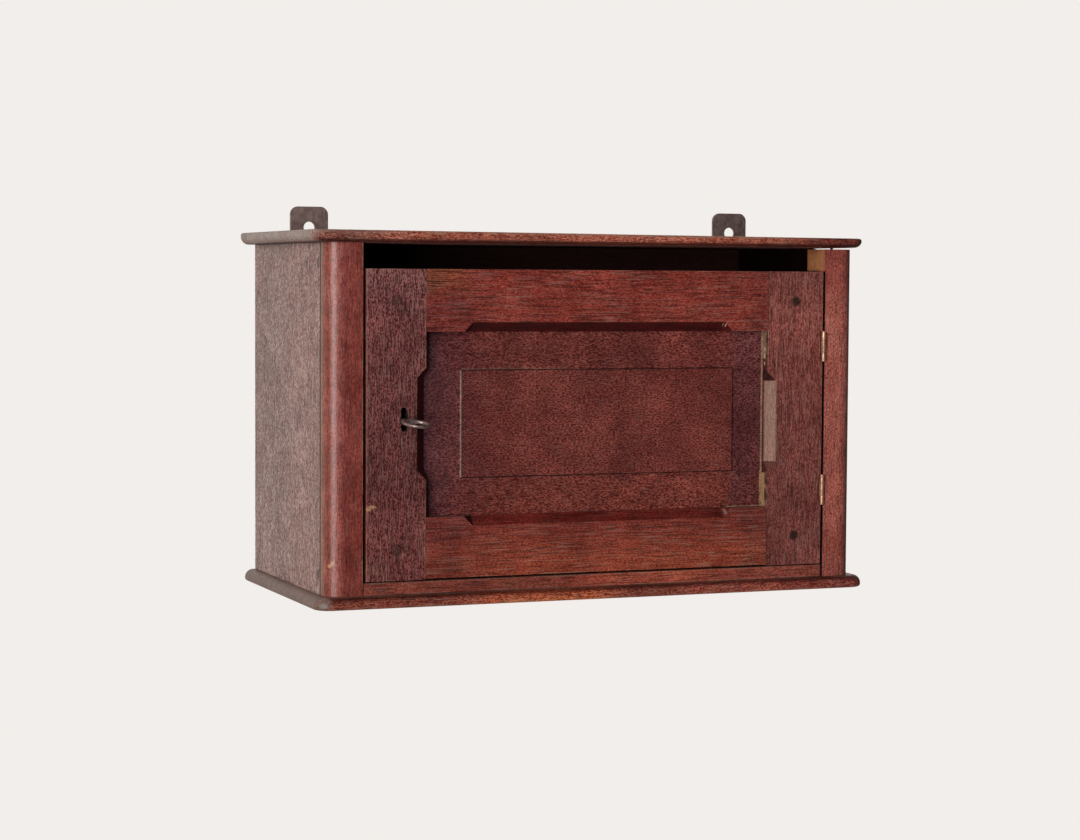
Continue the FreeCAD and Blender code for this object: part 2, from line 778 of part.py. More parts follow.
def key():
    """A bored key, seen with its bit to the right and its ring bow lying flat."""
    end = lock_inner_back - loose_gap
    bow_y = front - key_bow_distance
    neck = bow_y + key_bow_radius
    axis = Vector(lock_axis_x, 0, lock_axis_z)
    shank = rod(key_shank_radius, axis + TO_WALL * neck, axis + TO_WALL * end)
    collar_start = axis + TO_WALL * (neck + key_collar_length)
    collar = rod(key_collar_radius, collar_start, collar_start + TO_WALL * key_collar_length)
    collar = collar.makeChamfer(key_collar_bevel, [e for e in collar.Edges if len(e.Vertexes) == 1])
    bow_centre = axis + TO_WALL * bow_y
    wire = ring_of_points(bow_centre + RIGHT * key_bow_radius, TO_WALL, key_bow_wire_radius, key_bow_sides)
    bow = Part.Face(Part.Wire(polygon(wire))).revolve(bow_centre, UP, 360)
    bit_front = plate_back + 2 * loose_gap
    bit_back = lock_inner_back - 2 * loose_gap
    half = key_bit_thickness / 2
    bit = block(lock_axis_x, lock_axis_x + key_bit_reach, bit_front, bit_back,
                lock_axis_z - half, lock_axis_z + half)
    ward_half = key_ward_width / 2
    ward_y = (bit_front + bit_back) / 2
    ward = block(lock_axis_x + (key_shank_radius + key_bit_reach) / 2, lock_axis_x + key_bit_reach,
                 ward_y - ward_half, ward_y + ward_half, lock_axis_z - half, lock_axis_z + half)
    bore = rod(drill_pin_radius + pin_gap, axis + TO_WALL * (end - key_bore_depth), axis + TO_WALL * end)
    return without(joined([shank, collar, bow, bit]), [ward, bore])


# The assembly, one entry for each node

pieces = {
    "top_board": top_board(),
    "bottom_board": bottom_board(),
    "left_corner_post": left_corner_post(),
    "right_corner_post": right_corner_post(),
    "left_side_panel": side_panel(-1),
    "right_side_panel": side_panel(1),
    "upper_back_board": back_board(back_joint + back_joint_gap, case_high),
    "lower_back_board": back_board(case_low, back_joint),
    "front_bottom_rail": front_bottom_rail(),
    "door_stop": door_stop(),
    "door_left_stile": left_stile(),
    "door_right_stile": right_stile(),
    "door_top_rail": door_rail(True),
    "door_bottom_rail": door_rail(False),
    "door_panel": door_panel(),
    "door_pegs": Part.makeCompound([peg(c, peg_diameter / 2, peg_proud) for c in peg_centres]),
    "hinge_door_screws": Part.makeCompound([screw(*s) for s in hinge_door_screws]),
    "hinge_post_screws": Part.makeCompound([screw(*s) for s in hinge_post_screws]),
    "hanger_screws": Part.makeCompound([screw(*s) for s in hanger_screws]),
    "lock_screws": Part.makeCompound([screw(*s) for s in lock_screws]),
    "lock_plate": lock_plate(),
    "lock_case": lock_case(),
    "lock_drill_pin": lock_drill_pin(),
    "lock_guide_stud": lock_guide_stud(),
    "lock_bolt": lock_bolt(),
    "bolt_spring": bolt_spring(),
    "key": key(),
}
for place, centre in hinge_centres.items():
    pieces[place + "_hinge_door_leaf"] = hinge_leaf(-1, centre, hinge_door_screws)
    pieces[place + "_hinge_post_leaf"] = hinge_leaf(1, centre, hinge_post_screws)
    pieces[place + "_hinge_pin"] = hinge_pin(centre)
for place, x in hanger_centres.items():
    pieces[place + "_hanger_plate"] = hanger_plate(x)
for group, items in nails.items():
    pieces[group] = Part.makeCompound([brad(*nail) for nail in items])

os.makedirs("parts", exist_ok=True)
for name, shape in pieces.items():
    shape.translate(Vector(0, 0, -origin_height))
    shape.exportStep("parts/" + name + ".step")
    kinds = "valid" if shape.isValid() else "NOT VALID"
    print(f"{name}: {len(shape.Solids)} solids, {shape.Volume:.1f} mm3, {kinds}")
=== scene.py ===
"""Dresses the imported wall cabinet: worn stained oak, browned iron, tarnished brass, and a pale studio."""
import dataclasses
import json
import math

import bmesh
import bpy
from mathutils import Matrix, Vector


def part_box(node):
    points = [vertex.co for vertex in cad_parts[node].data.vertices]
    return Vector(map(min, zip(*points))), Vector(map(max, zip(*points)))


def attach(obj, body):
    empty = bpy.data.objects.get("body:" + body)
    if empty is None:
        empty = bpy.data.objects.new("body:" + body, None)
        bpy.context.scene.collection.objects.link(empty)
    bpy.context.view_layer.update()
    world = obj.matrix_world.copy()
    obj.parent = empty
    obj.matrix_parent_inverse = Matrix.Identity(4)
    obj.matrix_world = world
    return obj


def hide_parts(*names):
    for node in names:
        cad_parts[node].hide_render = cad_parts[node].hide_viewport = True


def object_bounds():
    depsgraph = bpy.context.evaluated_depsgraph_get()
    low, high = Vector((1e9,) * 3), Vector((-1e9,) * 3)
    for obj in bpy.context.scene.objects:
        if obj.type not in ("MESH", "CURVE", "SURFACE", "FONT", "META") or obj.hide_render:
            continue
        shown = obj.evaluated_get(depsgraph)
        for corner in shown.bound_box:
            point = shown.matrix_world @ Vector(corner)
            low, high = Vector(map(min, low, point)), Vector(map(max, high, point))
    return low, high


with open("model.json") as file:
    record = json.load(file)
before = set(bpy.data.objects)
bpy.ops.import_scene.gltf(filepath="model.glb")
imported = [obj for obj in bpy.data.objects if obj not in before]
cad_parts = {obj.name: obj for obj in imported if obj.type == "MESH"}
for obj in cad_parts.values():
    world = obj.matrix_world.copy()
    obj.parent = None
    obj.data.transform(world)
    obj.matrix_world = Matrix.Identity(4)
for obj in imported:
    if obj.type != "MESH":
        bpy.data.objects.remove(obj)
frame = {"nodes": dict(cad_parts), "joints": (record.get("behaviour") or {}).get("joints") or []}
CAD_BOX = [list(corner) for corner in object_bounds()]

bl_info = {
    "name": "Wall Cabinet Dressing",
    "version": (1, 0, 0),
    "blender": (4, 5, 0),
    "location": "View3D > Sidebar > Cabinet",
    "description": "Dresses the packed wall cabinet in worn oak, iron and brass",
    "category": "Object",
}

MM = 0.001
PER_METRE = 1000.0
FAR = 1.0
OPEN = (-FAR, FAR)
MERGE = 2e-6
TOUCH = 0.05 * MM
FLAT_ANGLE = math.radians(0.5)
SHARP_ANGLE = math.radians(30)
AXIS_ALIGNED = 0.999
LEAST_ARRIS = 12 * MM
LARGEST_CURVED = 600 * MM * MM
VALUE = "NodeSocketFloat"
VECTOR = "NodeSocketVector"
GEOMETRY = "NodeSocketGeometry"

# Places that several pieces share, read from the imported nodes
CASE_LOW, CASE_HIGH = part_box("left_side_panel")
STILE_LOW, STILE_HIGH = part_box("door_left_stile")
RIGHT_STILE_LOW, RIGHT_STILE_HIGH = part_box("door_right_stile")
POST_LOW, POST_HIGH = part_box("left_corner_post")
RIGHT_POST_LOW, RIGHT_POST_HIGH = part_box("right_corner_post")
FRONT = STILE_LOW.y
SIDE_FRONT = CASE_LOW.y
OPENING_LEFT = STILE_HIGH.x
OPENING_RIGHT = RIGHT_STILE_LOW.x
RAIL_WIDTH = 50 * MM
OPENING_LOW = STILE_LOW.z + RAIL_WIDTH
OPENING_HIGH = STILE_HIGH.z - RAIL_WIDTH
FIELD_MARGIN = 31 * MM
KEY_AXIS = Vector(next(j["pos_m"] for j in frame["joints"] if j["name"] == "key_turn"))
PEG_HEIGHTS = (STILE_LOW.z + RAIL_WIDTH / 2, STILE_HIGH.z - RAIL_WIDTH / 2)
PEG_SIDES = ((STILE_LOW.x + STILE_HIGH.x) / 2, (RIGHT_STILE_LOW.x + RIGHT_STILE_HIGH.x) / 2)

# The right stile's chamfer in millimetres: its size, and its stops' distances from the opening's corners
CHAMFER = 8.0
LOW_STOP = 30.0
HIGH_STOP = 34.0


# What a user may change

def number(name, description, default, unit="LENGTH"):
    """A number that a user may change."""
    return bpy.props.FloatProperty(name=name, description=description, default=default, unit=unit)


def angle(name, description, degrees):
    """An angle that a user may change."""
    return number(name, description, math.radians(degrees), "ROTATION")


def colour(name, description, default):
    """A colour that a user may change."""
    return bpy.props.FloatVectorProperty(
        name=name, description=description, size=3, subtype="COLOR", default=default)


class CabinetWood(bpy.types.PropertyGroup):
    """Sizes and colours of the oak."""

    joint_arris: number("Joint arris", "Rounding of arrises that meet at a joint", 0.5 * MM)
    board_arris: number("Board arris", "Rounding worn on the boards' plain faces", 2.4 * MM)
    board_taper: number("Board taper", "How much thinner the top board is at its right end", 2.2 * MM)
    shrinkage: number("Shrinkage", "How far the right post and side end below the top board", 1.5 * MM)
    edge_colour: colour("Worn edge", "Wood where the stain has rubbed off", (0.40, 0.20, 0.14))
    ridge_colour: colour("Raised grain", "Pale ridges of the raised grain", (0.34, 0.19, 0.165))
    pore_colour: colour("Pores", "Dirt in the pores", (0.024, 0.0065, 0.0055))
    bare_colour: colour("Bare oak", "Oak that never had stain", (0.46, 0.19, 0.085))
    # This colour paints the pale highlight on the left step of the panel's raised field
    grey_step_highlight: colour("Grey oak", "Bare oak gone grey", (0.39, 0.275, 0.225))
    inside_colour: colour("Inside", "Oak inside the case", (0.075, 0.026, 0.021))
    dust_colour: colour("Dust", "Dust on faces that look up", (0.34, 0.27, 0.23))


class CabinetMetal(bpy.types.PropertyGroup):
    """Sizes and colours of the ironwork and the brass."""

    arris: number("Arris", "Rounding on the metal's edges", 0.25 * MM)
    bow_tilt: angle("Bow tilt", "How far the key's bow is bent down in front", 9)
    bow_twist: angle("Bow twist", "How far the key's bow is twisted against its bit", 4)
    slot_width: number("Screw slot", "Width of the slot in a screw's head", 0.7 * MM)
    iron_colour: colour("Iron", "Browned iron", (0.275, 0.213, 0.200))
    rust_colour: colour("Rust", "Brown bloom on the iron", (0.085, 0.040, 0.030))
    brass_colour: colour("Brass", "Rubbed brass", (0.80, 0.43, 0.30))
    tarnish_colour: colour("Tarnish", "Tarnish on the brass", (0.22, 0.13, 0.08))


class CabinetStage(bpy.types.PropertyGroup):
    """Floor, light and camera."""

    floor_drop: number("Floor drop", "Height of the cabinet over the floor", 1.3)
    floor_radius: number("Floor radius", "Radius of the floor", 1.1)
    floor_colour: colour("Floor", "Colour of the floor", (0.82, 0.79, 0.77))
    backdrop_colour: colour("Backdrop", "What the camera sees behind the cabinet", (0.89, 0.855, 0.83))
    wall_light: number(
        "Light behind", "Brightness of the pale surroundings behind the cabinet", 0.95, "NONE")
    room_light: number("Light in front", "Brightness of the room in front of the cabinet", 0.12, "NONE")
    window_power: number("Window", "Power of the large soft light on the left", 98.0, "POWER")
    fill_power: number("Fill", "Power of the soft light behind on the right", 12.0, "POWER")
    camera_place: bpy.props.FloatVectorProperty(
        name="Camera", description="Where the camera stands", size=3, subtype="TRANSLATION",
        default=(-0.8032, -2.0830, 0.1121), unit="LENGTH")
    camera_yaw: angle("Yaw", "Turn of the view from the wall's normal to the right", 21.804)
    camera_pitch: angle("Pitch", "Tilt of the view, up is positive", -3.247)
    camera_roll: angle("Roll", "Roll of the camera, clockwise is positive", -0.332)
    camera_lens: number("Lens", "Focal length in millimetres on a 36 mm wide sensor", 82.92, "NONE")


# Node trees

class Graph:
    """Adds nodes to one tree. A value that is a socket is linked, any other is set."""

    def __init__(self, tree):
        self.tree = tree

    def node(self, kind, inputs=(), **settings):
        """One node with its settings and its inputs, given by name or number."""
        made = self.tree.nodes.new(kind)
        for key, value in settings.items():
            setattr(made, key, value)
        for key, value in dict(inputs).items():
            self.put(made.inputs[key], value)
        return made

    def put(self, socket, value):
        """Links or sets one input."""
        if isinstance(value, bpy.types.NodeSocket):
            self.tree.links.new(value, socket)
            return
        if socket.type == "RGBA" and len(value) == 3:
            value = (*value, 1.0)
        socket.default_value = value

    def math(self, operation, *values, clamp=False):
        """A Math node's value."""
        return self.node("ShaderNodeMath", enumerate(values), operation=operation, use_clamp=clamp).outputs[0]

    def times(self, first, second):
        """Two numbers multiplied."""
        return self.math("MULTIPLY", first, second)

    def plus(self, first, second, clamp=False):
        """Two numbers added."""
        return self.math("ADD", first, second, clamp=clamp)

    def minus(self, first, second, clamp=False):
        """One number less another."""
        return self.math("SUBTRACT", first, second, clamp=clamp)

    def vector(self, operation, *values):
        """A Vector Math node's vector."""
        return self.node("ShaderNodeVectorMath", enumerate(values), operation=operation).outputs[0]

    def length(self, value):
        """The length of a vector."""
        return self.node("ShaderNodeVectorMath", {0: value}, operation="LENGTH").outputs["Value"]

    def scaled(self, value, factor):
        """A vector times a number."""
        return self.node("ShaderNodeVectorMath", {0: value, "Scale": factor}, operation="SCALE").outputs[0]

    def parts(self, value):
        """The three numbers of a vector."""
        return self.node("ShaderNodeSeparateXYZ", {0: value}).outputs

    def joined(self, x=0.0, y=0.0, z=0.0):
        """A vector from three numbers."""
        return self.node("ShaderNodeCombineXYZ", {"X": x, "Y": y, "Z": z}).outputs[0]

    def within(self, place, low, high):
        """How deep a place lies in a box, along each axis."""
        from_low = self.vector("SUBTRACT", place, low)
        return self.vector("MINIMUM", from_low, self.vector("SUBTRACT", high, place))

    def noise(self, vector, scale, detail=2.0, roughness=0.5):
        """A noise texture's value, about 0.5 in the mean."""
        inputs = {"Vector": vector, "Scale": scale, "Detail": detail, "Roughness": roughness}
        return self.node("ShaderNodeTexNoise", inputs).outputs[0]

    def stray(self, vector, scale, detail):
        """A noise that strays from nought along each axis."""
        noise = self.node("ShaderNodeTexNoise", {"Vector": vector, "Scale": scale, "Detail": detail})
        return self.vector("SUBTRACT", noise.outputs["Color"], (0.5, 0.5, 0.5))

    def ramp(self, value, low, high, start=0.0, end=1.0):
        """A smooth step from start to end while value goes from low to high."""
        inputs = {"Value": value, "From Min": low, "From Max": high, "To Min": start, "To Max": end}
        return self.node("ShaderNodeMapRange", inputs, interpolation_type="SMOOTHSTEP").outputs[0]

    def mix(self, factor, first, second, blend="MIX"):
        """Two colours mixed."""
        inputs = {0: factor, 6: first, 7: second}
        return self.node("ShaderNodeMix", inputs, data_type="RGBA", blend_type=blend).outputs[2]

    def cover(self, below, paint, mask, strength):
        """A colour with paint over it, as far as a mask times a strength says."""
        return self.mix(self.times(mask, strength), below, paint)

    def worn(self):
        """How worn a face is, from its attribute."""
        return self.node("ShaderNodeAttribute", attribute_name="worn").outputs["Fac"]

    def group(self, name, **inputs):
        """The results of a shared shader group."""
        return self.node("ShaderNodeGroup", inputs, node_tree=shared(name)).outputs

    def give(self, kind, results):
        """Ends a node group with its named results. Returns the tree."""
        for label in results:
            self.tree.interface.new_socket(name=label, in_out="OUTPUT", socket_type=kind)
        self.node("NodeGroupOutput", results)
        return self.tree


def new_group(name, kind, inputs):
    """A node group with its inputs. Returns its graph and its input sockets."""
    tree = bpy.data.node_groups.new(name, kind)
    for label, socket in inputs:
        tree.interface.new_socket(name=label, in_out="INPUT", socket_type=socket)
    graph = Graph(tree)
    return graph, graph.node("NodeGroupInput").outputs


SHADER_GROUPS = {}


def shader_group(name, vectors, values=""):
    """Marks the maker of a shared shader group, with the names of its vectors and numbers."""
    inputs = [(label, VECTOR) for label in vectors.split()] + [(label, VALUE) for label in values.split()]

    def keep(maker):
        SHADER_GROUPS[name] = (maker, inputs)
        return maker

    return keep


def shared(name):
    """A shared shader group, built by its maker when it is first asked for."""
    if name in bpy.data.node_groups:
        return bpy.data.node_groups[name]
    maker, inputs = SHADER_GROUPS[name]
    graph, given = new_group(name, "ShaderNodeTree", inputs)
    return graph.give(VALUE, maker(graph, given))


@shader_group("Oak grain", "Vector Stretch Shift")
def oak_grain(graph, given):
    """Straight open oak grain in millimetres: raised ridges, dark pores, soft bands and mottling."""
    place = graph.vector("ADD", graph.scaled(given["Vector"], PER_METRE), given["Shift"])
    swayed = graph.vector("ADD", place, graph.scaled(graph.stray(place, 0.014, 2.0), 3.0))
    along = graph.vector("MULTIPLY", swayed, given["Stretch"])
    gate = graph.ramp(graph.noise(place, 0.055, 2.0), 0.34, 0.60, 0.35, 1.0)
    ridge = graph.times(graph.ramp(graph.noise(along, 1.15, 1.0, 0.6), 0.53, 0.62), gate)
    pore = graph.ramp(graph.noise(graph.vector("ADD", along, (31.0, 57.0, 13.0)), 1.25, 1.0, 0.6), 0.54, 0.63)
    band = graph.ramp(graph.noise(graph.vector("ADD", along, (7.0, 3.0, 91.0)), 0.13, 3.0, 0.55), 0.33, 0.67)
    short = graph.vector("MULTIPLY", place, graph.vector("MAXIMUM", given["Stretch"], (0.42, 0.42, 0.42)))
    speckle = graph.ramp(graph.noise(short, 1.15, 1.0, 0.6), 0.42, 0.58)
    height = graph.minus(graph.times(ridge, 0.8), graph.times(pore, 0.7))
    return {"Ridge": ridge, "Pore": pore, "Band": band, "Speckle": speckle,
            "Mottle": graph.ramp(graph.noise(place, 0.021, 4.0, 0.6), 0.32, 0.68),
            "Cloud": graph.ramp(graph.noise(place, 0.06, 3.0, 0.5), 0.36, 0.66),
            "Height": graph.plus(height, graph.times(speckle, 0.25))}


@shader_group("Edge wear", "Vector Low High", "Width")
def edge_wear(graph, given):
    """How much a place is rubbed: near the long arrises of a box, with a ragged border."""
    near_faces = graph.vector("ABSOLUTE", graph.within(given["Vector"], given["Low"], given["High"]))
    x, y, z = graph.parts(graph.scaled(near_faces, PER_METRE))
    lesser = graph.math("MINIMUM", x, y)
    greater = graph.math("MAXIMUM", x, y)
    from_arris = graph.math("MAXIMUM", lesser, graph.math("MINIMUM", greater, z))
    rubbed = graph.ramp(graph.noise(given["Vector"], 38.0, 4.0, 0.65), 0.36, 0.72, 0.05, 1.9)
    share = graph.math("DIVIDE", from_arris, graph.times(given["Width"], rubbed))
    speckle = graph.ramp(graph.noise(given["Vector"], 420.0, 2.0), 0.30, 0.62, 0.35, 1.0)
    return {"Wear": graph.times(graph.minus(1.0, share, clamp=True), speckle)}


@shader_group("Patch", "Vector Low High", "Feather Ragged")
def patch(graph, given):
    """A box-shaped patch with a soft, ragged border."""
    stray = graph.scaled(graph.stray(given["Vector"], 140.0, 3.0), given["Ragged"])
    place = graph.vector("ADD", given["Vector"], stray)
    x, y, z = graph.parts(graph.within(place, given["Low"], given["High"]))
    depth = graph.math("MINIMUM", graph.math("MINIMUM", x, y), z)
    return {"Mask": graph.math("DIVIDE", depth, given["Feather"], clamp=True)}


@shader_group("Spot", "Vector Centre Squash", "Radius Ragged")
def spot(graph, given):
    """A ragged spot, such as a chip, and a thin ring at its rim."""
    away = graph.vector("SUBTRACT", given["Vector"], given["Centre"])
    away = graph.vector("MULTIPLY", away, given["Squash"])
    stray = graph.minus(graph.noise(given["Vector"], 520.0, 3.0, 0.6), 0.5)
    distance = graph.plus(graph.length(away), graph.times(stray, given["Ragged"]))
    share = graph.math("DIVIDE", distance, given["Radius"])
    from_rim = graph.math("ABSOLUTE", graph.minus(share, 1.0))
    return {"Mask": graph.ramp(share, 1.0, 0.7), "Ring": graph.ramp(from_rim, 0.22, 0.06)}


@shader_group("Outline", "Vector Low High", "Width")
def outline(graph, given):
    """A thin uneven line along an upright rectangle's border, at a step's foot."""
    x, y, z = graph.parts(graph.scaled(graph.within(given["Vector"], given["Low"], given["High"]), -1.0))
    uneven = graph.ramp(graph.noise(given["Vector"], 150.0, 3.0), 0.30, 0.70, 0.55, 1.25)
    share = graph.math("DIVIDE", graph.math("MAXIMUM", x, z), graph.times(given["Width"], uneven))
    line = graph.ramp(graph.math("ABSOLUTE", share), 1.0, 0.55)
    return {"Mask": graph.times(line, graph.math("LESS_THAN", y, 0.0))}


@shader_group("Dust", "Vector Normal")
def dust(graph, given):
    """Dust where a surface looks up, thin and uneven."""
    up = graph.ramp(graph.parts(given["Normal"])[2], 0.88, 0.99)
    return {"Mask": graph.times(up, graph.ramp(graph.noise(given["Vector"], 13.0, 4.0, 0.6), 0.20, 0.85))}


@shader_group("Metal age", "Vector")
def metal_age(graph, given):
    """Uneven bloom on old metal, fine pitting and long rubbed streaks, in millimetres."""
    place = graph.scaled(given["Vector"], PER_METRE)
    streaks = graph.vector("MULTIPLY", place, (1.0, 1.0, 0.18))
    bloom = graph.ramp(graph.noise(place, 0.16, 5.0, 0.65), 0.26, 0.74)
    pit = graph.ramp(graph.noise(place, 1.3, 3.0, 0.6), 0.58, 0.72)
    return {"Bloom": bloom, "Pit": pit, "Rub": graph.ramp(graph.noise(streaks, 0.9, 3.0), 0.52, 0.70),
            "Height": graph.minus(bloom, pit)}


# Materials

# How strongly a fleck changes red, green and blue: dark flecks are redder
FLECK_POWERS = (0.82, 1.45, 1.42)
# How far each piece's grain is shifted from the last one's, in millimetres
GRAIN_STEPS = (137.0, 71.0, 211.0)
CLOUDING = 0.2
OUTLINE_STRENGTH = 0.9
CHIP_STRENGTH = 0.9
CHIP_RAGGED = 1.6
PEG_RING = {"Squash": (1.0, 0.0, 1.0), "Radius": 3.9 * MM, "Ragged": 1.2 * MM}
PEG_RING_STRENGTH = 0.6
DUST_STRENGTH = 0.45
WOOD_RELIEF = 0.5 * MM
METAL_RELIEF = 0.3 * MM


@dataclasses.dataclass
class Oak:
    """How one oak piece looks: its grain, its stain from dark to light, what has happened to it, and the shade
    and highlights painted on it.
    """

    grain: str
    dark: tuple
    light: tuple
    streak: float = 0.06
    across: float = 1.0
    ridge: float = 0.3
    pore: float = 0.5
    speckle: float = 0.7
    gloss: float = 0.5
    sheen: float = 0.25
    edge: float = 1.6
    rub: float = 0.5
    bump: float = 0.25
    tints: tuple = ()
    patches: tuple = ()
    chips: tuple = ()
    pegs: tuple = ()
    outlines: tuple = ()
    ends_worn: bool = False


def new_material(name):
    """A material with a Principled shader. Returns it, its graph, the shader and object coordinates."""
    material = bpy.data.materials.new(name)
    material.use_nodes = True
    material.node_tree.nodes.clear()
    graph = Graph(material.node_tree)
    shader = graph.node("ShaderNodeBsdfPrincipled")
    graph.node("ShaderNodeOutputMaterial", {"Surface": shader.outputs[0]})
    return material, graph, shader, graph.node("ShaderNodeTexCoord").outputs["Object"]


def surface(graph, shader, paint, rough, height, strength, depth):
    """Puts a colour, a roughness and a relief on a shader."""
    relief = graph.node("ShaderNodeBump", {"Strength": strength, "Distance": depth, "Height": height})
    for label, value in (("Base Color", paint), ("Roughness", rough), ("Normal", relief.outputs[0])):
        graph.put(shader.inputs[label], value)


def toned(paint, factor):
    """A colour made darker or lighter."""
    return [min(1.0, c * factor) for c in paint]


def wear_box(node, look):
    """The box whose arrises are rubbed. A member's ends are pushed away, since they meet another piece."""
    low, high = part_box(node)
    if not look.ends_worn:
        axis = "XYZ".index(look.grain)
        low[axis] -= FAR
        high[axis] += FAR
    return low, high


def oak(node, look, wood):
    """The material of one oak piece."""
    material, graph, shader, place = new_material("oak_" + node)
    serial = sorted(frame["nodes"]).index(node)
    grain = graph.group("Oak grain", Vector=place, Shift=[serial * step for step in GRAIN_STEPS],
                        Stretch=[look.streak if axis == look.grain else look.across for axis in "XYZ"])
    paint = graph.mix(grain["Mottle"], look.dark, look.light)
    paint = graph.cover(paint, look.dark, grain["Band"], 0.40)
    clouded = graph.plus(graph.times(grain["Cloud"], CLOUDING), 1.0 - CLOUDING / 2)
    speckled = graph.plus(graph.times(grain["Speckle"], look.speckle), 1.0 - look.speckle / 2)
    flecks = [graph.times(clouded, graph.math("POWER", speckled, power)) for power in FLECK_POWERS]
    flecked = graph.node("ShaderNodeCombineColor", enumerate(flecks)).outputs[0]
    paint = graph.mix(1.0, paint, flecked, "MULTIPLY")
    paint = graph.cover(paint, wood.ridge_colour, grain["Ridge"], look.ridge)
    paint = graph.cover(paint, wood.pore_colour, grain["Pore"], look.pore)
    low, high = wear_box(node, look)
    wear = graph.group("Edge wear", Vector=place, Low=low, High=high, Width=look.edge)["Wear"]
    broken = graph.ramp(graph.noise(place, 90.0, 3.0, 0.7), 0.40, 0.62)
    rubbed = graph.times(graph.worn(), graph.times(broken, look.rub))
    wear = graph.math("MAXIMUM", graph.times(wear, 0.8), rubbed)
    paint = graph.mix(wear, paint, wood.edge_colour)
    for tint, box in look.tints:
        paint = graph.mix(graph.group("Patch", Vector=place, **box)["Mask"], paint, tint, "MULTIPLY")
    for line_paint, box in look.outlines:
        line = graph.group("Outline", Vector=place, **box)["Mask"]
        paint = graph.cover(paint, line_paint, line, OUTLINE_STRENGTH)
    for fresh, box in look.patches:
        aged = graph.cover(fresh, toned(fresh, 0.6), grain["Band"], 0.6)
        aged = graph.cover(aged, toned(fresh, 0.3), grain["Pore"], 0.45)
        aged = graph.mix(0.45, aged, speckled, "MULTIPLY")
        paint = graph.mix(graph.group("Patch", Vector=place, **box)["Mask"], paint, aged)
    for bare, sizes in look.chips:
        paint = graph.cover(paint, bare, graph.group("Spot", Vector=place, **sizes)["Mask"], CHIP_STRENGTH)
    for centre in look.pegs:
        ring = graph.group("Spot", Vector=place, Centre=centre, **PEG_RING)["Ring"]
        paint = graph.cover(paint, wood.pore_colour, ring, PEG_RING_STRENGTH)
    normal = graph.node("ShaderNodeNewGeometry").outputs["Normal"]
    dusty = graph.group("Dust", Vector=place, Normal=normal)["Mask"]
    paint = graph.cover(paint, wood.dust_colour, dusty, DUST_STRENGTH)
    rough = graph.plus(look.gloss, graph.times(grain["Ridge"], 0.16))
    rough = graph.plus(rough, graph.times(wear, 0.12))
    rough = graph.plus(rough, graph.times(dusty, 0.30), clamp=True)
    surface(graph, shader, paint, rough, grain["Height"], look.bump, WOOD_RELIEF)
    shader.inputs["Specular IOR Level"].default_value = look.sheen
    return material


def old_metal(name, base, bloom, metallic, gloss):
    """Old iron or brass: bloom, pits and rubbed streaks over the bare colour."""
    material, graph, shader, place = new_material(name)
    age = graph.group("Metal age", Vector=place)
    paint = graph.cover(base, bloom, age["Bloom"], 0.75)
    paint = graph.cover(paint, toned(base, 1.7), age["Rub"], 0.45)
    paint = graph.cover(paint, toned(bloom, 0.35), age["Pit"], 0.6)
    paint = graph.cover(paint, toned(base, 1.9), graph.worn(), 0.5)
    rough = graph.plus(gloss, graph.times(age["Bloom"], 0.22), clamp=True)
    surface(graph, shader, paint, rough, age["Height"], 0.25, METAL_RELIEF)
    shader.inputs["Metallic"].default_value = metallic
    return material


def shared_metal(slot):
    """The browned iron or the tarnished brass that the pieces of one slot share."""
    metal = bpy.context.scene.cabinet_metal
    if slot == "iron":
        name, looks = "browned_iron", (metal.iron_colour, metal.rust_colour, 0.35, 0.42)
    else:
        name, looks = "tarnished_brass", (metal.brass_colour, metal.tarnish_colour, 0.85, 0.42)
    return bpy.data.materials.get(name) or old_metal(name, *looks)


# Meshes

def merged_copy(node):
    """One CAD node's mesh with its loose triangles merged and its flat faces whole again."""
    mesh = bmesh.new()
    mesh.from_mesh(frame["nodes"][node].data)
    bmesh.ops.remove_doubles(mesh, verts=mesh.verts, dist=MERGE)
    bmesh.ops.dissolve_limit(mesh, angle_limit=FLAT_ANGLE, verts=mesh.verts, edges=mesh.edges)
    mesh.normal_update()
    return mesh


def box_of(vertices):
    """Lowest and highest corner of some vertices."""
    places = [v.co for v in vertices]
    return [Vector(pick(p[axis] for p in places) for axis in range(3)) for pick in (min, max)]


def shows(face, low, high, planes):
    """Whether a face is on the piece's outside: on its box, on one of the named planes, or slanting."""
    for axis in range(3):
        if abs(face.normal[axis]) > AXIS_ALIGNED:
            level = face.verts[0].co[axis]
            levels = (low[axis], high[axis]) + tuple(value for along, value in planes if along == axis)
            return any(abs(level - value) < TOUCH for value in levels)
    return True


def sharp_rims(mesh, least=SHARP_ANGLE * 1.5):
    """Every sharp convex edge."""
    return [e for e in mesh.edges if len(e.link_faces) == 2 and e.is_convex and e.calc_face_angle() > least]


def outer_arrises(mesh, planes=()):
    """The long convex edges between faces that show."""
    low, high = box_of(mesh.verts)
    return [e for e in sharp_rims(mesh, SHARP_ANGLE)
            if e.calc_length() > LEAST_ARRIS and all(shows(f, low, high, planes) for f in e.link_faces)]


def round_edges(mesh, edges, width, segments=3):
    """Rounds edges and marks the new faces as worn."""
    worn = mesh.faces.layers.float.get("worn") or mesh.faces.layers.float.new("worn")
    if edges:
        made = bmesh.ops.bevel(mesh, geom=edges, offset=width, offset_type="OFFSET", segments=segments,
                               profile=0.5, affect="EDGES", clamp_overlap=True)
        for face in made["faces"]:
            face[worn] = 1.0


def shade(mesh):
    """Smooth shading on worn and curved faces, and flat on the rest."""
    worn = mesh.faces.layers.float.get("worn")
    for face in mesh.faces:
        turns = [e.calc_face_angle(0.0) for e in face.edges]
        curved = face.calc_area() < LARGEST_CURVED and any(FLAT_ANGLE < t < SHARP_ANGLE for t in turns)
        face.smooth = curved or bool(worn and face[worn] > 0.5)
    for edge in mesh.edges:
        edge.smooth = edge.calc_face_angle(0.0) < SHARP_ANGLE


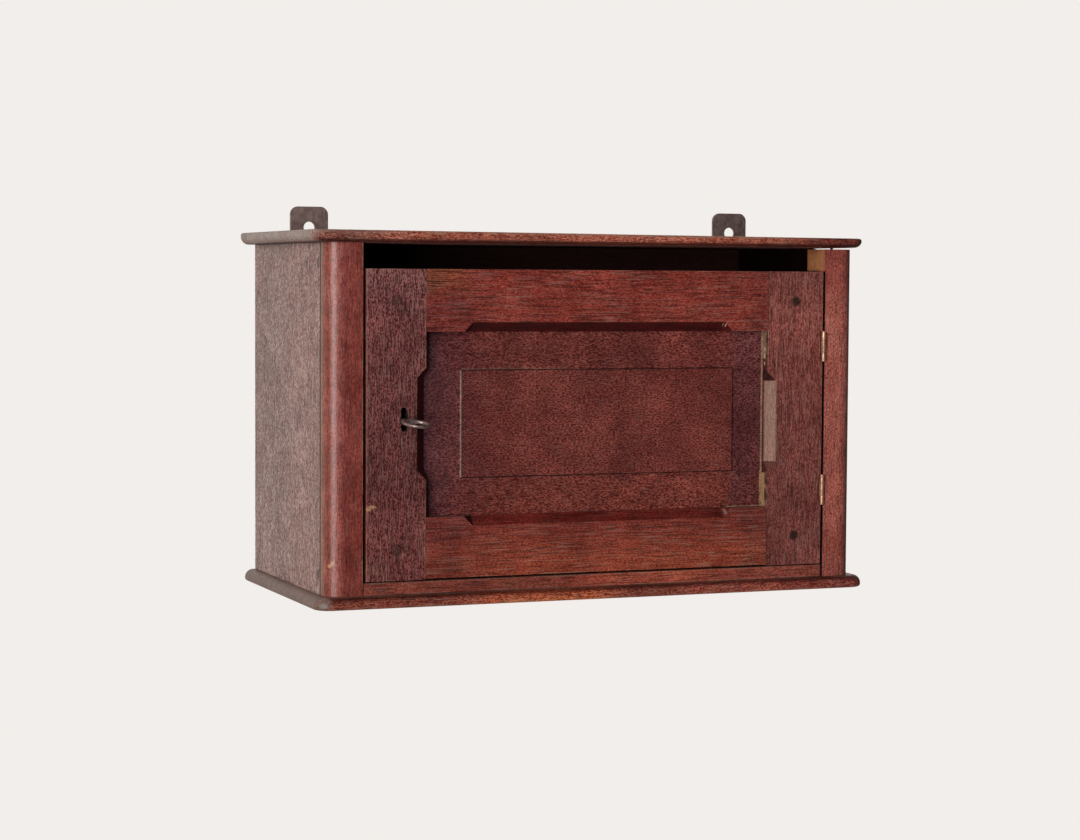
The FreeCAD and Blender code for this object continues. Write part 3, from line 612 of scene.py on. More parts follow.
def linked(name, data):
    """A new object in the scene."""
    made = bpy.data.objects.new(name, data)
    bpy.context.scene.collection.objects.link(made)
    return made


def mesh_data(name, mesh):
    """Plain mesh data from an edited mesh, which is freed."""
    data = bpy.data.meshes.new(name)
    mesh.to_mesh(data)
    mesh.free()
    return data


def placed(name, data, material, body, nodes):
    """A piece at the origin with plain mesh data, riding on its body in place of its CAD nodes."""
    if "custom_normal" in data.attributes:
        data.attributes.remove(data.attributes["custom_normal"])
    if material is not None:
        data.materials.clear()
        data.materials.append(material)
    piece = linked(name, data)
    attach(piece, body)
    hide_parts(*nodes)
    return piece


def evaluated(piece):
    """The mesh of an object with its modifiers applied."""
    bpy.context.view_layer.update()
    return bpy.data.meshes.new_from_object(piece.evaluated_get(bpy.context.evaluated_depsgraph_get()))


def worn_wood(node, body, look, width, planes=(), change=None, arrises=outer_arrises):
    """A wooden piece: the CAD node with rounded arrises and its own oak."""
    mesh = merged_copy(node)
    round_edges(mesh, arrises(mesh, planes), width)
    if change:
        change(mesh)
    shade(mesh)
    material = oak(node, look, bpy.context.scene.cabinet_wood)
    return placed(node + "_worn", mesh_data(node + "_worn", mesh), material, body, [node])


def aged_metal(node, body, slot):
    """A metal piece: the CAD node with softened rims."""
    mesh = merged_copy(node)
    round_edges(mesh, sharp_rims(mesh), bpy.context.scene.cabinet_metal.arris, 2)
    shade(mesh)
    return placed(node + "_aged", mesh_data(node + "_aged", mesh), shared_metal(slot), body, [node])


# The oak of each piece

GAP_BLACK = (0.004, 0.002, 0.002)
CHIPPED = (0.42, 0.22, 0.13)
CHIPPED_EDGE = (0.42, 0.23, 0.12)
CREAM = (0.46, 0.29, 0.19)
TAN = (0.42, 0.25, 0.135)


def near(place, low, high):
    """A span about a place, from millimetres."""
    return place + low * MM, place + high * MM


def below(place, by=0.0):
    """A span up to some millimetres from a place."""
    return -FAR, place + by * MM


def above(place, by=0.0):
    """A span from some millimetres from a place onwards."""
    return place + by * MM, FAR


def zone(paint, feather, ragged, x=OPEN, y=OPEN, z=OPEN):
    """A box of colour, from spans in metres and the sizes of its border in millimetres."""
    low, high = zip(x, y, z)
    return paint, {"Low": low, "High": high, "Feather": feather * MM, "Ragged": ragged * MM}


def band(axis, low, high, tint, feather):
    """A soft change of tint between two places along one axis, from millimetres."""
    return zone(tint, feather, 8.0, **{axis: (low * MM, high * MM)})


def chip(x, y, z, radius, paint, squash=(1.0, 1.0, 1.0)):
    """A chipped spot, from millimetres."""
    return paint, {"Centre": Vector((x, y, z)) * MM, "Squash": squash, "Radius": radius * MM,
                   "Ragged": radius * MM * CHIP_RAGGED}


def inside_zone(wood):
    """The case's inside, in a darker colour than its outside."""
    reach = 1.4 * MM
    return zone(wood.inside_colour, 1.0, 0.0, (CASE_HIGH.x - reach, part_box("right_side_panel")[0].x + reach),
                (FRONT + 10 * MM, reach), (CASE_LOW.z - reach, CASE_HIGH.z + reach))


def case_looks(wood):
    """The oak of the case's pieces."""
    inside = inside_zone(wood)
    deep_inside = (toned(wood.inside_colour, 0.2), inside[1])
    slot_low = STILE_HIGH.z + 0.5 * MM
    left_bare, right_bare = [
        zone(wood.bare_colour, 1.0, 1.5, near(x, -2, 2), near(FRONT, 0.3, 40), (slot_low, CASE_HIGH.z))
        for x in (POST_HIGH.x, RIGHT_POST_LOW.x)]
    # Near black painted into the hinge gap on the right post, as the gap's shade
    painted_gap_shade = zone(GAP_BLACK, 0.3, 0.4, near(RIGHT_POST_LOW.x, -2, 0.9), below(FRONT, 3.5), below(slot_low))
    rail_ends = [zone(GAP_BLACK, 0.4, 0.5, x) for x in (below(POST_HIGH.x, 1), above(RIGHT_POST_LOW.x, -1.5))]
    # Left post: its side band made more orange, partly painted sheen; a painted highlight where the window's
    # reflection runs down the rounding; a faint painted reflection beside it
    post_colour_and_sheen = [zone((1.06, 2.15, 1.75), 5.0, 0.0, near(POST_LOW.x, -5, 4)),
                  band("x", -231, -219, (1.30, 1.65, 1.75), 4.0),
                  band("x", -223, -215, (0.95, 0.95, 1.1), 4.0)]
    # Right post: the first tint is painted shade on its outer rounding, which turns away from the light
    right_tints = [zone((0.50, 0.32, 0.34), 2.5, 1.0, above(RIGHT_POST_HIGH.x, -6.5)),
                   band("z", -2, 106, (1.25, 1.34, 1.34), 26.0), band("z", 98, 160, (0.85, 0.72, 0.74), 14.0)]
    joint_line = zone((0.02, 0.009, 0.007), 1.2, 2.0, y=near(SIDE_FRONT, -1, 3.2))
    warm_front = band("y", -260, -80, (1.07, 1.0, 0.99), 60.0)
    rail_tints = [band("x", -300, -5, (0.56, 0.58, 0.64), 50.0),
                  band("x", 128, 300, (0.76, 0.82, 0.95), 20.0)]
    # Painted shade on the lower rounding of the top board's front edge, which faces down
    under_lip_shade = zone((0.30, 0.20, 0.20), 1.4, 1.0, y=below(FRONT, -1), z=below(CASE_HIGH.z, 3.4))
    # Painted shadow along the top of the bottom board's front moulding, under the rail
    over_lip_shade = zone((0.35, 0.28, 0.28), 2.2, 1.5, y=below(FRONT, 3), z=above(CASE_LOW.z, -4))
    top_tints = [under_lip_shade, band("x", -300, -160, (0.64, 0.74, 0.85), 40.0),
                 band("x", 150, 300, (0.55, 0.42, 0.46), 60.0)]
    low_tints = [over_lip_shade, band("x", -120, 20, (1.75, 1.62, 1.15), 30.0),
                 band("x", 60, 300, (1.28, 1.20, 1.28), 30.0)]
    # Painted light on the front of the top board's underside, standing in for light from below
    underside_painted_light = zone((0.78, 0.36, 0.32), 0.4, 0.0, y=near(FRONT, -1, 120), z=below(CASE_HIGH.z, 0.6))
    # The top board's grey left end: partly wear, partly painted sheen
    top_end_wear_and_sheen = zone((0.335, 0.265, 0.230), 6.0, 8.0, below(POST_LOW.x, -7))
    end_shadow = zone((0.05, 0.028, 0.023), 0.9, 0.9, below(POST_LOW.x, 2), z=below(CASE_HIGH.z, 1.2))
    # The bottom board's grey-brown left end: partly wear, partly painted sheen
    low_end_wear_and_sheen = zone((0.18, 0.108, 0.086), 6.0, 6.0, below(POST_LOW.x, 5))
    nail_slits = [chip(low.x * PER_METRE, (low.y + high.y) / 2 * PER_METRE, (low.z + high.z) / 2 * PER_METRE,
                       3.0, wood.pore_colour, (1.0, 1.0, 0.7))
                  for low, high in islands("side_panel_nails") if low.x < 0]
    post_chips = [chip(-231.4, -206.4, -115.4, 2.0, CHIPPED),
                  chip(-229.2, -208.4, -113.6, 2.2, CHIPPED, (1.0, 1.0, 0.8))]
    scuff = chip(-238.0, -214.0, -146.0, 3.4, (0.20, 0.165, 0.15), (0.8, 0.8, 1.4))
    side = dict(grain="Z", dark=(0.257, 0.157, 0.141), light=(0.333, 0.209, 0.187), streak=0.05, across=0.75,
                ridge=0.35, pore=0.6, speckle=0.9, gloss=0.55, edge=0.6, rub=0.2, bump=0.3,
                tints=[warm_front])
    board = dict(grain="X", ridge=0.35, pore=0.55, speckle=1.1, gloss=0.45, ends_worn=True)
    return {
        "top_board": Oak(
            dark=(0.32, 0.073, 0.045), light=(0.59, 0.166, 0.104), edge=4.0, rub=0.8, tints=top_tints,
            patches=[inside, underside_painted_light, top_end_wear_and_sheen, end_shadow], **board),
        "bottom_board": Oak(
            dark=(0.195, 0.040, 0.026), light=(0.34, 0.081, 0.048), edge=1.2, rub=0.35, tints=low_tints,
            patches=[inside, low_end_wear_and_sheen], chips=[scuff], **board),
        "left_corner_post": Oak(
            "Z", (0.185, 0.032, 0.023), (0.280, 0.060, 0.048), ridge=0.14, pore=0.45, speckle=0.5, gloss=0.31,
            sheen=0.40, edge=0.8, rub=0.4, bump=0.07, tints=post_colour_and_sheen, patches=[inside, left_bare],
            chips=post_chips),
        "right_corner_post": Oak(
            "Z", (0.33, 0.074, 0.055), (0.52, 0.146, 0.113), ridge=0.34, pore=0.52, gloss=0.40, edge=0.8,
            rub=0.6, bump=0.16, tints=right_tints, patches=[inside, right_bare, painted_gap_shade]),
        "left_side_panel": Oak(sheen=0.2, chips=nail_slits, patches=[inside, joint_line], **side),
        "right_side_panel": Oak(sheen=0.05, patches=[deep_inside], **side),
        "front_bottom_rail": Oak(
            "X", (0.31, 0.055, 0.033), (0.46, 0.105, 0.061), streak=0.035, pore=0.6, speckle=0.6, edge=1.2,
            rub=0.3, bump=0.15, tints=rail_tints, patches=[inside, *rail_ends]),
    }


def chamfer_shade(tint, x=OPEN, z=OPEN):
    """A crisp tint on the chamfers and walls round the door's opening, behind its face."""
    return zone(tint, 0.4, 0.0, x, near(FRONT, 0.3, 14), z)


def right_stile_looks():
    """The right stile's tints, patches and chips: painted shade round its chamfer and its upper stop, its bare
    chamfer, its lower stop, its walls, painted shade in its hinge gap, and its dirty joints.
    """
    full_low = OPENING_LOW + (LOW_STOP + CHAMFER) * MM
    full_high = OPENING_HIGH - (HIGH_STOP + CHAMFER) * MM
    beside = near(OPENING_RIGHT, -2, CHAMFER)
    wall = (near(OPENING_RIGHT, -2, 3), near(FRONT, 1, 12))
    tints = [chamfer_shade((0.36, 0.22, 0.25), beside),
             chamfer_shade((0.35, 0.30, 0.34), beside, near(full_high, 0.2, CHAMFER + 1)),
             band("z", -18, 130, (1.36, 1.35, 1.30), 50.0)]
    low_stop = zone((0.15, 0.052, 0.042), 0.4, 0.5, near(OPENING_RIGHT, 0.3, CHAMFER), near(FRONT, 0.2, 14),
                    near(full_low, -CHAMFER - 1, -0.2))
    lit_chamfer = zone((0.30, 0.160, 0.120), 0.5, 0.6, near(OPENING_RIGHT, 0.4, CHAMFER + 1),
                       near(FRONT, -2, CHAMFER + 2), (full_low, full_high))
    wall_top = zone((0.30, 0.18, 0.12), 1.2, 7.0, *wall, near(OPENING_HIGH, -24, 2))
    wall_low = zone(TAN, 1.0, 2.0, *wall, near(OPENING_LOW, -2, 29))
    # The front of the right stile's inner walls, beyond the chamfer's stops, made darker
    wall_front_dark = [zone((0.075, 0.026, 0.019), 1.0, 5.0, near(OPENING_RIGHT, -2, 0.5), near(FRONT, -1, 5), z)
                 for z in (near(OPENING_LOW, -0.5, 30), near(OPENING_HIGH, -42, 0.5))]
    # Near black painted on the door's right edge in the hinge gap, as the gap's shade
    painted_gap_shade = zone(GAP_BLACK, 0.3, 0.4, above(RIGHT_STILE_HIGH.x, -0.6), below(FRONT, 2))
    joint_dirt = [zone((0.05, 0.012, 0.010), 0.35, 0.5, near(OPENING_RIGHT, -1, 0.7), below(FRONT, 0.8), z)
                  for z in (below(OPENING_LOW, -1), above(OPENING_HIGH, 1))]
    flecks = [chip(OPENING_RIGHT * PER_METRE, -204.0, z, size, (0.50, 0.36, 0.26), (1.0, 0.7, 0.5))
              for z, size in ((54.0, 1.1), (48.5, 1.3), (42.0, 0.9))]
    patches = [low_stop, lit_chamfer, wall_top, wall_low, *wall_front_dark, painted_gap_shade, *joint_dirt]
    return tints, patches, flecks


def panel_looks(wood):
    """The panel's tints with the left stile's painted shadow, its patches with painted highlights on the
    field's steps, and the dark line round its raised field.
    """
    middle = sum(corner.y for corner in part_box("door_panel")) / 2
    field_low = Vector((OPENING_LEFT + FIELD_MARGIN, -FAR, OPENING_LOW + FIELD_MARGIN))
    field_high = Vector((OPENING_RIGHT - FIELD_MARGIN, middle, OPENING_HIGH - FIELD_MARGIN))
    field_part = field_low.x + (field_high.x - field_low.x) * 0.4
    # The first tint is the left stile's painted shadow over the panel's left border
    tints = [zone((0.46, 0.52, 0.85), 60.0, 10.0, below(OPENING_LEFT, 60)),
             zone((0.86, 1.03, 1.35), 3.0, 4.0, above(field_high.x)),
             zone((1.14, 1.16, 1.06), 9.0, 4.0, above(OPENING_LEFT, 20), z=below(field_low.z)),
             band("x", 25, 121, (1.17, 1.14, 1.14), 40.0)]
    rim = near(FRONT, 0, 13)
    height = (OPENING_LOW - 2 * MM, OPENING_HIGH + 2 * MM)
    patches = [zone(CREAM, 0.3, 0.6, near(OPENING_RIGHT, -1.8, 5), rim, height),
               zone(TAN, 0.3, 0.8, near(OPENING_RIGHT, -2.4, 5), rim, near(OPENING_LOW, -2, 30)),
               zone(CREAM, 0.3, 0.8, near(OPENING_RIGHT, -34, 5), rim, near(OPENING_LOW, -5, 0.9)),
               # A painted highlight along the raised field's left step, which faces the light
               zone(wood.grey_step_highlight, 0.8, 0.8, near(field_low.x, -1.1, 0.5), (FRONT, middle),
                    (field_low.z, field_high.z)),
               # A painted highlight along the left part of the raised field's top step
               zone((0.20, 0.085, 0.070), 0.6, 1.0, (field_low.x, field_part), (FRONT, middle),
                    near(field_high.z, 0.4, 1.6))]
    return tints, patches, [(wood.pore_colour, {"Low": field_low, "High": field_high, "Width": 0.75 * MM})]


def door_looks(wood):
    """The oak of the door's pieces."""
    inside = inside_zone(wood)
    left_pegs, right_pegs = [[Vector((x, FRONT, z)) for z in PEG_HEIGHTS] for x in PEG_SIDES]
    left_tints = [chamfer_shade((0.40, 0.08, 0.14), near(OPENING_LEFT, -CHAMFER, 2)),
                  band("z", -300, 0, (0.96, 0.88, 0.86), 60.0), band("z", -100, 55, (0.76, 0.74, 0.75), 45.0),
                  band("z", 78, 300, (1.08, 1.25, 1.28), 25.0)]
    edge_chips = [chip(-200.0, -210.0, -71.0, 2.2, CHIPPED_EDGE, (0.8, 1.0, 1.3)),
                  chip(-196.8, -210.0, -69.2, 2.4, CHIPPED_EDGE, (0.7, 1.0, 1.7))]
    keyhole = chip(KEY_AXIS.x * PER_METRE + 0.9, FRONT * PER_METRE, KEY_AXIS.z * PER_METRE, 3.6, GAP_BLACK,
                   (1.0, 1.0, 0.34))
    # The keyhole's walls in near black
    keyhole_walls_black = zone(GAP_BLACK, 0.2, 0.0, near(KEY_AXIS.x, -4, 4), (FRONT + 0.2 * MM, 0.0),
                     near(KEY_AXIS.z, -8.2, 12))
    right_tints, right_patches, right_flecks = right_stile_looks()
    rail_tints = [band("x", -300, -85, (0.76, 0.76, 0.86), 50.0),
                  band("x", 122, 300, (0.86, 0.95, 1.02), 20.0)]
    top_tints = [chamfer_shade((0.23, 0.05, 0.07), z=near(OPENING_HIGH, -2, CHAMFER)),
                 zone((1.1, 1.4, 0.9), 16.0, 8.0, below(OPENING_LEFT, 40), z=above(OPENING_HIGH, 24)),
                 *rail_tints]
    low_wall = near(OPENING_LOW, -CHAMFER, 2)
    low_tints = [chamfer_shade((0.62, 0.36, 0.36), z=low_wall),
                 chamfer_shade((0.22, 0.24, 0.26), (-119 * MM, -110.5 * MM), low_wall),
                 zone((1.25, 1.35, 1.1), 26.0, 8.0, z=below(OPENING_LOW, -12)), *rail_tints]
    high_nicks = [chip(x, -207.2, 74.8, 0.5, (0.45, 0.29, 0.19), (1.0, 0.18, 0.18)) for x in (111.4, 113.7)]
    low_nick = chip(115.0, -206.0, -83.0, 2.4, (0.19, 0.12, 0.115), (1.5, 0.5, 0.6))
    panel_tints, panel_patches, panel_lines = panel_looks(wood)
    rail = dict(grain="X", streak=0.03, ridge=0.36, pore=0.62, speckle=0.75, gloss=0.46, edge=0.5, rub=0.12,
                patches=[inside])
    return {
        "door_left_stile": Oak(
            "Z", (0.142, 0.0322, 0.0315), (0.213, 0.0535, 0.0530), ridge=0.60, pore=0.6, speckle=1.3,
            gloss=0.58, sheen=0.2, rub=0.6, bump=0.45, tints=left_tints, patches=[inside, keyhole_walls_black],
            chips=[*edge_chips, keyhole], pegs=left_pegs),
        "door_right_stile": Oak(
            "Z", (0.173, 0.0414, 0.036), (0.268, 0.072, 0.061), ridge=0.40, pore=0.6, speckle=0.8, gloss=0.52,
            edge=0.8, rub=0.4, bump=0.3, tints=right_tints, patches=[inside, *right_patches],
            chips=right_flecks, pegs=right_pegs),
        "door_top_rail": Oak(
            dark=(0.218, 0.0305, 0.0213), light=(0.336, 0.0586, 0.0414), tints=top_tints, chips=high_nicks,
            **rail),
        "door_bottom_rail": Oak(
            dark=(0.180, 0.0275, 0.0178), light=(0.287, 0.0506, 0.0342), tints=low_tints, chips=[low_nick],
            **rail),
        "door_panel": Oak(
            "X", (0.138, 0.0237, 0.0200), (0.219, 0.0452, 0.0350), streak=0.10, ridge=0.14, pore=0.4,
            speckle=1.2, gloss=0.48, edge=0.1, rub=0.0, bump=0.18, tints=panel_tints, outlines=panel_lines,
            patches=[inside, *panel_patches]),
    }


# Woodwork

# Between these depths a shrunken piece comes down from the top board
SHRINK_FROM = FRONT + 75 * MM
SHRINK_TO = FRONT + 60 * MM
SHRINK_REACH = 3 * MM
RIM_REACH = 6 * MM


def board_drop(x):
    """How far the top board's upper face has worn down at a place along it."""
    low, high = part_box("top_board")
    return bpy.context.scene.cabinet_wood.board_taper * (x - low.x) / (high.x - low.x)


def taper_board(mesh):
    """Thins the top board towards its right end, from above."""
    low, high = box_of(mesh.verts)
    for vertex in mesh.verts:
        vertex.co.z -= board_drop(vertex.co.x) * (vertex.co.z - low.z) / (high.z - low.z)


def shrink_front(mesh):
    """Lets the front part of a piece end a little below the top board."""
    top = box_of(mesh.verts)[1].z
    for level in (SHRINK_FROM, SHRINK_TO):
        bmesh.ops.bisect_plane(mesh, geom=mesh.verts[:] + mesh.edges[:] + mesh.faces[:], dist=MERGE,
                               plane_co=(0.0, level, 0.0), plane_no=(0.0, 1.0, 0.0))
    for vertex in mesh.verts:
        if vertex.co.z > top - SHRINK_REACH:
            share = min(1.0, max(0.0, (SHRINK_FROM - vertex.co.y) / (SHRINK_FROM - SHRINK_TO)))
            vertex.co.z -= share * bpy.context.scene.cabinet_wood.shrinkage


def board_rims(mesh, level):
    """The arrises round a board's plain face, but for its back."""
    low, high = box_of(mesh.verts)

    def on_rim(place):
        away = min(place.x - low.x, high.x - place.x, place.y - low.y)
        return abs(place.z - level) < TOUCH and away < RIM_REACH

    return [e for e in mesh.edges
            if all(on_rim(v.co) for v in e.verts) and e.is_convex and e.calc_face_angle(0.0) > SHARP_ANGLE]


class CABINET_OT_case_woodwork(bpy.types.Operator):
    """Makes the oak boards, posts, sides and rail of the case"""

    bl_idname = "cabinet.case_woodwork"
    bl_label = "Case Woodwork"

    def execute(self, context):
        wood = context.scene.cabinet_wood
        changes = {"top_board": taper_board, "right_corner_post": shrink_front,
                   "right_side_panel": shrink_front}
        planes = {"left_corner_post": [(1, SIDE_FRONT)], "right_corner_post": [(1, SIDE_FRONT)]}
        levels = {"top_board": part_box("top_board")[1].z, "bottom_board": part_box("bottom_board")[0].z}
        for node, look in case_looks(wood).items():
            change = changes.get(node)
            if node in levels:
                worn_wood(node, "carcass", look, wood.board_arris, levels[node], change=change,
                          arrises=board_rims)
            else:
                worn_wood(node, "carcass", look, wood.joint_arris, planes.get(node, ()), change=change)
        return {"FINISHED"}


class CABINET_OT_plain_boards(bpy.types.Operator):
    """Makes the back boards and the door's stop, which were never stained"""

    bl_idname = "cabinet.plain_boards"
    bl_label = "Plain Boards"

    def execute(self, context):
        wood = context.scene.cabinet_wood
        for node in ("upper_back_board", "lower_back_board", "door_stop"):
            front = zone(wood.inside_colour, 0.3, 0.0, y=below(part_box(node)[0].y, 0.6))
            look = Oak("X", (0.19, 0.106, 0.066), (0.262, 0.155, 0.098), ridge=0.25, pore=0.6, gloss=0.62,
                       edge=1.0, bump=0.4, patches=[front])
            worn_wood(node, "carcass", look, wood.joint_arris)
        return {"FINISHED"}


class CABINET_OT_door_woodwork(bpy.types.Operator):
    """Makes the stiles, rails and raised panel of the door"""

    bl_idname = "cabinet.door_woodwork"
    bl_label = "Door Woodwork"

    def execute(self, context):
        wood = context.scene.cabinet_wood
        for node, look in door_looks(wood).items():
            worn_wood(node, "door", look, wood.joint_arris)
        return {"FINISHED"}


# Fasteners

SCREW_SIDES = 24
PEG_FACETS = 8
TURN_SEED = 7
SLOT_SHARE = 0.45
POINT_SHARE = 0.45
BRAD_TAPER = 0.6
PEG_SOFTENING = 0.35 * MM


def islands(node):
    """The boxes of the separate solids in one CAD node."""
    mesh = merged_copy(node)
    left = set(mesh.verts)
    boxes = []
    while left:
        found = [left.pop()]
        for vertex in found:
            beside = {e.other_vert(vertex) for e in vertex.link_edges} & left
            left -= beside
            found.extend(beside)
        boxes.append(box_of(found))
    mesh.free()
    return sorted(boxes, key=lambda box: tuple(box[0]))


def driven_points(name, boxes, way):
    """A mesh of points at the fasteners' heads, with the way each is driven and its wide way."""
    heads = []
    ways = []
    wides = []
    for low, high in boxes:
        head = (low + high) / 2
        inward = Vector(way(head))
        axis = max(range(3), key=lambda i: abs(inward[i]))
        head[axis] = low[axis] if inward[axis] > 0 else high[axis]
        across = max((i for i in range(3) if i != axis), key=lambda i: high[i] - low[i])
        heads.append(head)
        ways.append(inward)
        wides.append(Vector(i == across for i in range(3)))
    data = bpy.data.meshes.new(name)
    data.from_pydata(heads, [], [])
    for label, vectors in (("inward", ways), ("wide", wides)):
        layer = data.attributes.new(label, "FLOAT_VECTOR", "POINT")
        layer.data.foreach_set("vector", [value for vector in vectors for value in vector])
    return data


def named_vector(graph, name):
    """A vector attribute of the points."""
    return graph.node("GeometryNodeInputNamedAttribute", {"Name": name}, data_type="FLOAT_VECTOR").outputs[0]


def driven_rotation(graph):
    """The turn that lays a fastener's own Z along inward and its X along wide."""
    inputs = {"Vector": named_vector(graph, "inward")}
    down = graph.node("FunctionNodeAlignRotationToVector", inputs, axis="Z").outputs[0]
    inputs = {"Rotation": down, "Vector": named_vector(graph, "wide")}
    return graph.node("FunctionNodeAlignRotationToVector", inputs, axis="X", pivot_axis="Z").outputs[0]


def moved(graph, geometry, z=0.0, turn=0.0, scale=(1.0, 1.0, 1.0)):
    """Geometry pushed along Z, turned about Z and scaled."""
    inputs = {"Geometry": geometry, "Translation": graph.joined(z=z), "Rotation": (0.0, 0.0, turn),
              "Scale": scale}
    return graph.node("GeometryNodeTransform", inputs).outputs[0]


def cone(graph, sides, start, end, depth):
    """A cone or bar along Z from 0 to depth."""
    inputs = {"Vertices": sides, "Radius Top": end, "Radius Bottom": start, "Depth": depth}
    return graph.node("GeometryNodeMeshCone", inputs).outputs["Mesh"]


def fused(graph, *meshes):
    """Meshes joined to one closed skin."""
    union = graph.node("GeometryNodeMeshBoolean", operation="UNION", solver="EXACT")
    for mesh in meshes:
        graph.put(union.inputs[1], mesh)
    return union.outputs[0]


def fastener_group(name, *sizes):
    """A tree with points in and named sizes. Returns its graph and its input sockets."""
    return new_group(name, "GeometryNodeTree", [("Geometry", GEOMETRY)] + [(label, VALUE) for label in sizes])


def on_points(graph, points, fastener, rotation, material):
    """Ends a tree with one fastener on every point, realised and with its material. Returns the tree."""
    inputs = {"Points": points, "Instance": fastener, "Rotation": rotation}
    placed_on = graph.node("GeometryNodeInstanceOnPoints", inputs).outputs[0]
    real = graph.node("GeometryNodeRealizeInstances", {0: placed_on}).outputs[0]
    done = graph.node("GeometryNodeSetMaterial", {0: real, "Material": material}).outputs[0]
    return graph.give(GEOMETRY, {"Geometry": done})


def slotted_screws(material):
    """Countersunk screws, each with its slot turned its own way."""
    graph, given = fastener_group(
        "Slotted screws " + material.name, "Head Radius", "Shank Radius", "Head Depth", "Length",
        "Slot Width", "Slot Depth")
    head = cone(graph, SCREW_SIDES, given["Head Radius"], given["Shank Radius"], given["Head Depth"])
    start = graph.times(given["Head Depth"], 0.5)
    point = graph.times(given["Shank Radius"], POINT_SHARE)
    shank = cone(graph, SCREW_SIDES, given["Shank Radius"], point, graph.minus(given["Length"], start))
    body = fused(graph, head, moved(graph, shank, start))
    size = graph.joined(graph.times(given["Head Radius"], 3.0), given["Slot Width"],
                        graph.times(given["Slot Depth"], 2.0))
    slot = graph.node("GeometryNodeMeshCube", {"Size": size}).outputs["Mesh"]
    cut = graph.node("GeometryNodeMeshBoolean", {0: body, 1: slot}, operation="DIFFERENCE", solver="EXACT")
    turns = {2: 0.0, 3: math.pi, "Seed": TURN_SEED}
    turn = graph.node("FunctionNodeRandomValue", turns, data_type="FLOAT").outputs[1]
    spin = graph.node("FunctionNodeAxisAngleToRotation", {"Axis": (0.0, 0.0, 1.0), "Angle": turn}).outputs[0]
    rotation = graph.node("FunctionNodeRotateRotation", {0: driven_rotation(graph), 1: spin},
                          rotation_space="LOCAL").outputs[0]
    return on_points(graph, given["Geometry"], cut.outputs[0], rotation, material)


def cut_brads(material):
    """Cut brads: flat bars that taper to a blunt point."""
    graph, given = fastener_group("Cut brads", "Width", "Thickness", "Length")
    bar = cone(graph, 4, math.sqrt(0.5), math.sqrt(0.5) * BRAD_TAPER, given["Length"])
    size = graph.joined(given["Width"], given["Thickness"], 1.0)
    bar = moved(graph, moved(graph, bar, turn=math.pi / 4), scale=size)
    return on_points(graph, given["Geometry"], bar, driven_rotation(graph), material)


def riven_pegs(material):
    """Eight-sided pegs with a softened end."""
    graph, given = fastener_group("Riven pegs", "Radius", "Length", "Softening")
    radius, soft = given["Radius"], given["Softening"]
    end = cone(graph, PEG_FACETS, graph.minus(radius, soft), radius, soft)
    bar = cone(graph, PEG_FACETS, radius, radius, graph.minus(given["Length"], soft))
    peg = moved(graph, fused(graph, end, moved(graph, bar, soft)), turn=math.pi / PEG_FACETS)
    return on_points(graph, given["Geometry"], peg, driven_rotation(graph), material)


def fasteners(name, tree, sizes, node, way, body):
    """The fasteners of one CAD node as one plain mesh. Way gives the way each is driven from its middle."""
    holder = linked(name + "_points", driven_points(name + "_points", islands(node), way))
    modifier = holder.modifiers.new("Fasteners", "NODES")
    modifier.node_group = tree
    for item in tree.interface.items_tree:
        if item.in_out == "INPUT" and item.name in sizes:
            modifier[item.identifier] = sizes[item.name]
    data = evaluated(holder)
    holder.modifiers.remove(modifier)
    bpy.data.objects.remove(holder)
    if not data.polygons:
        raise RuntimeError(f"{name} came out empty")
    return placed(name, data, None, body, [node])


def spans(node):
    """The extents of the first solid in a CAD node, longest first."""
    low, high = islands(node)[0]
    return sorted(high - low, reverse=True)


class CABINET_OT_nails(bpy.types.Operator):
    """Makes the brads of the case with geometry nodes"""

    bl_idname = "cabinet.nails"
    bl_label = "Brads"

    def execute(self, context):
        tree = cut_brads(shared_metal("iron"))
        ways = {"top_board_nails": lambda place: (0, 0, -1), "bottom_board_nails": lambda place: (0, 0, 1),
                "back_board_nails": lambda place: (0, -1, 0), "door_stop_nails": lambda place: (0, -1, 0),
                "side_panel_nails": lambda place: (math.copysign(1, -place.x), 0, 0)}
        for node, way in ways.items():
            length, width, thickness = spans(node)
            sizes = {"Width": width, "Thickness": thickness, "Length": length}
            brads = fasteners(node + "_cut", tree, sizes, node, way, "carcass")
            if node == "top_board_nails":
                for vertex in brads.data.vertices:
                    vertex.co.z -= board_drop(vertex.co.x)
        return {"FINISHED"}


class CABINET_OT_screws(bpy.types.Operator):
    """Makes the slotted screws of the hinges, the lock and the hanging plates with geometry nodes"""

    bl_idname = "cabinet.screws"
    bl_label = "Screws"

    def execute(self, context):
        # The way each is driven, its body and slot, and the shank's radius and head's depth in millimetres
        kinds = {"hanger_screws": ((0, -1, 0), "carcass", "iron", 1.5, 1.7),
                 "lock_screws": ((0, -1, 0), "door", "iron", 1.5, 1.1),
                 "hinge_door_screws": ((-1, 0, 0), "door", "brass", 1.0, 1.0),
                 "hinge_post_screws": ((1, 0, 0), "carcass", "brass", 1.0, 1.0)}
        trees = {slot: slotted_screws(shared_metal(slot)) for slot in ("iron", "brass")}
        for node, (way, body, slot, shank, depth) in kinds.items():
            length, wide = spans(node)[:2]
            sizes = {"Head Radius": wide / 2, "Shank Radius": shank * MM, "Head Depth": depth * MM,
                     "Length": length, "Slot Width": context.scene.cabinet_metal.slot_width,
                     "Slot Depth": depth * MM * SLOT_SHARE}
            fasteners(node + "_slotted", trees[slot], sizes, node, lambda place, way=way: way, body)
        return {"FINISHED"}


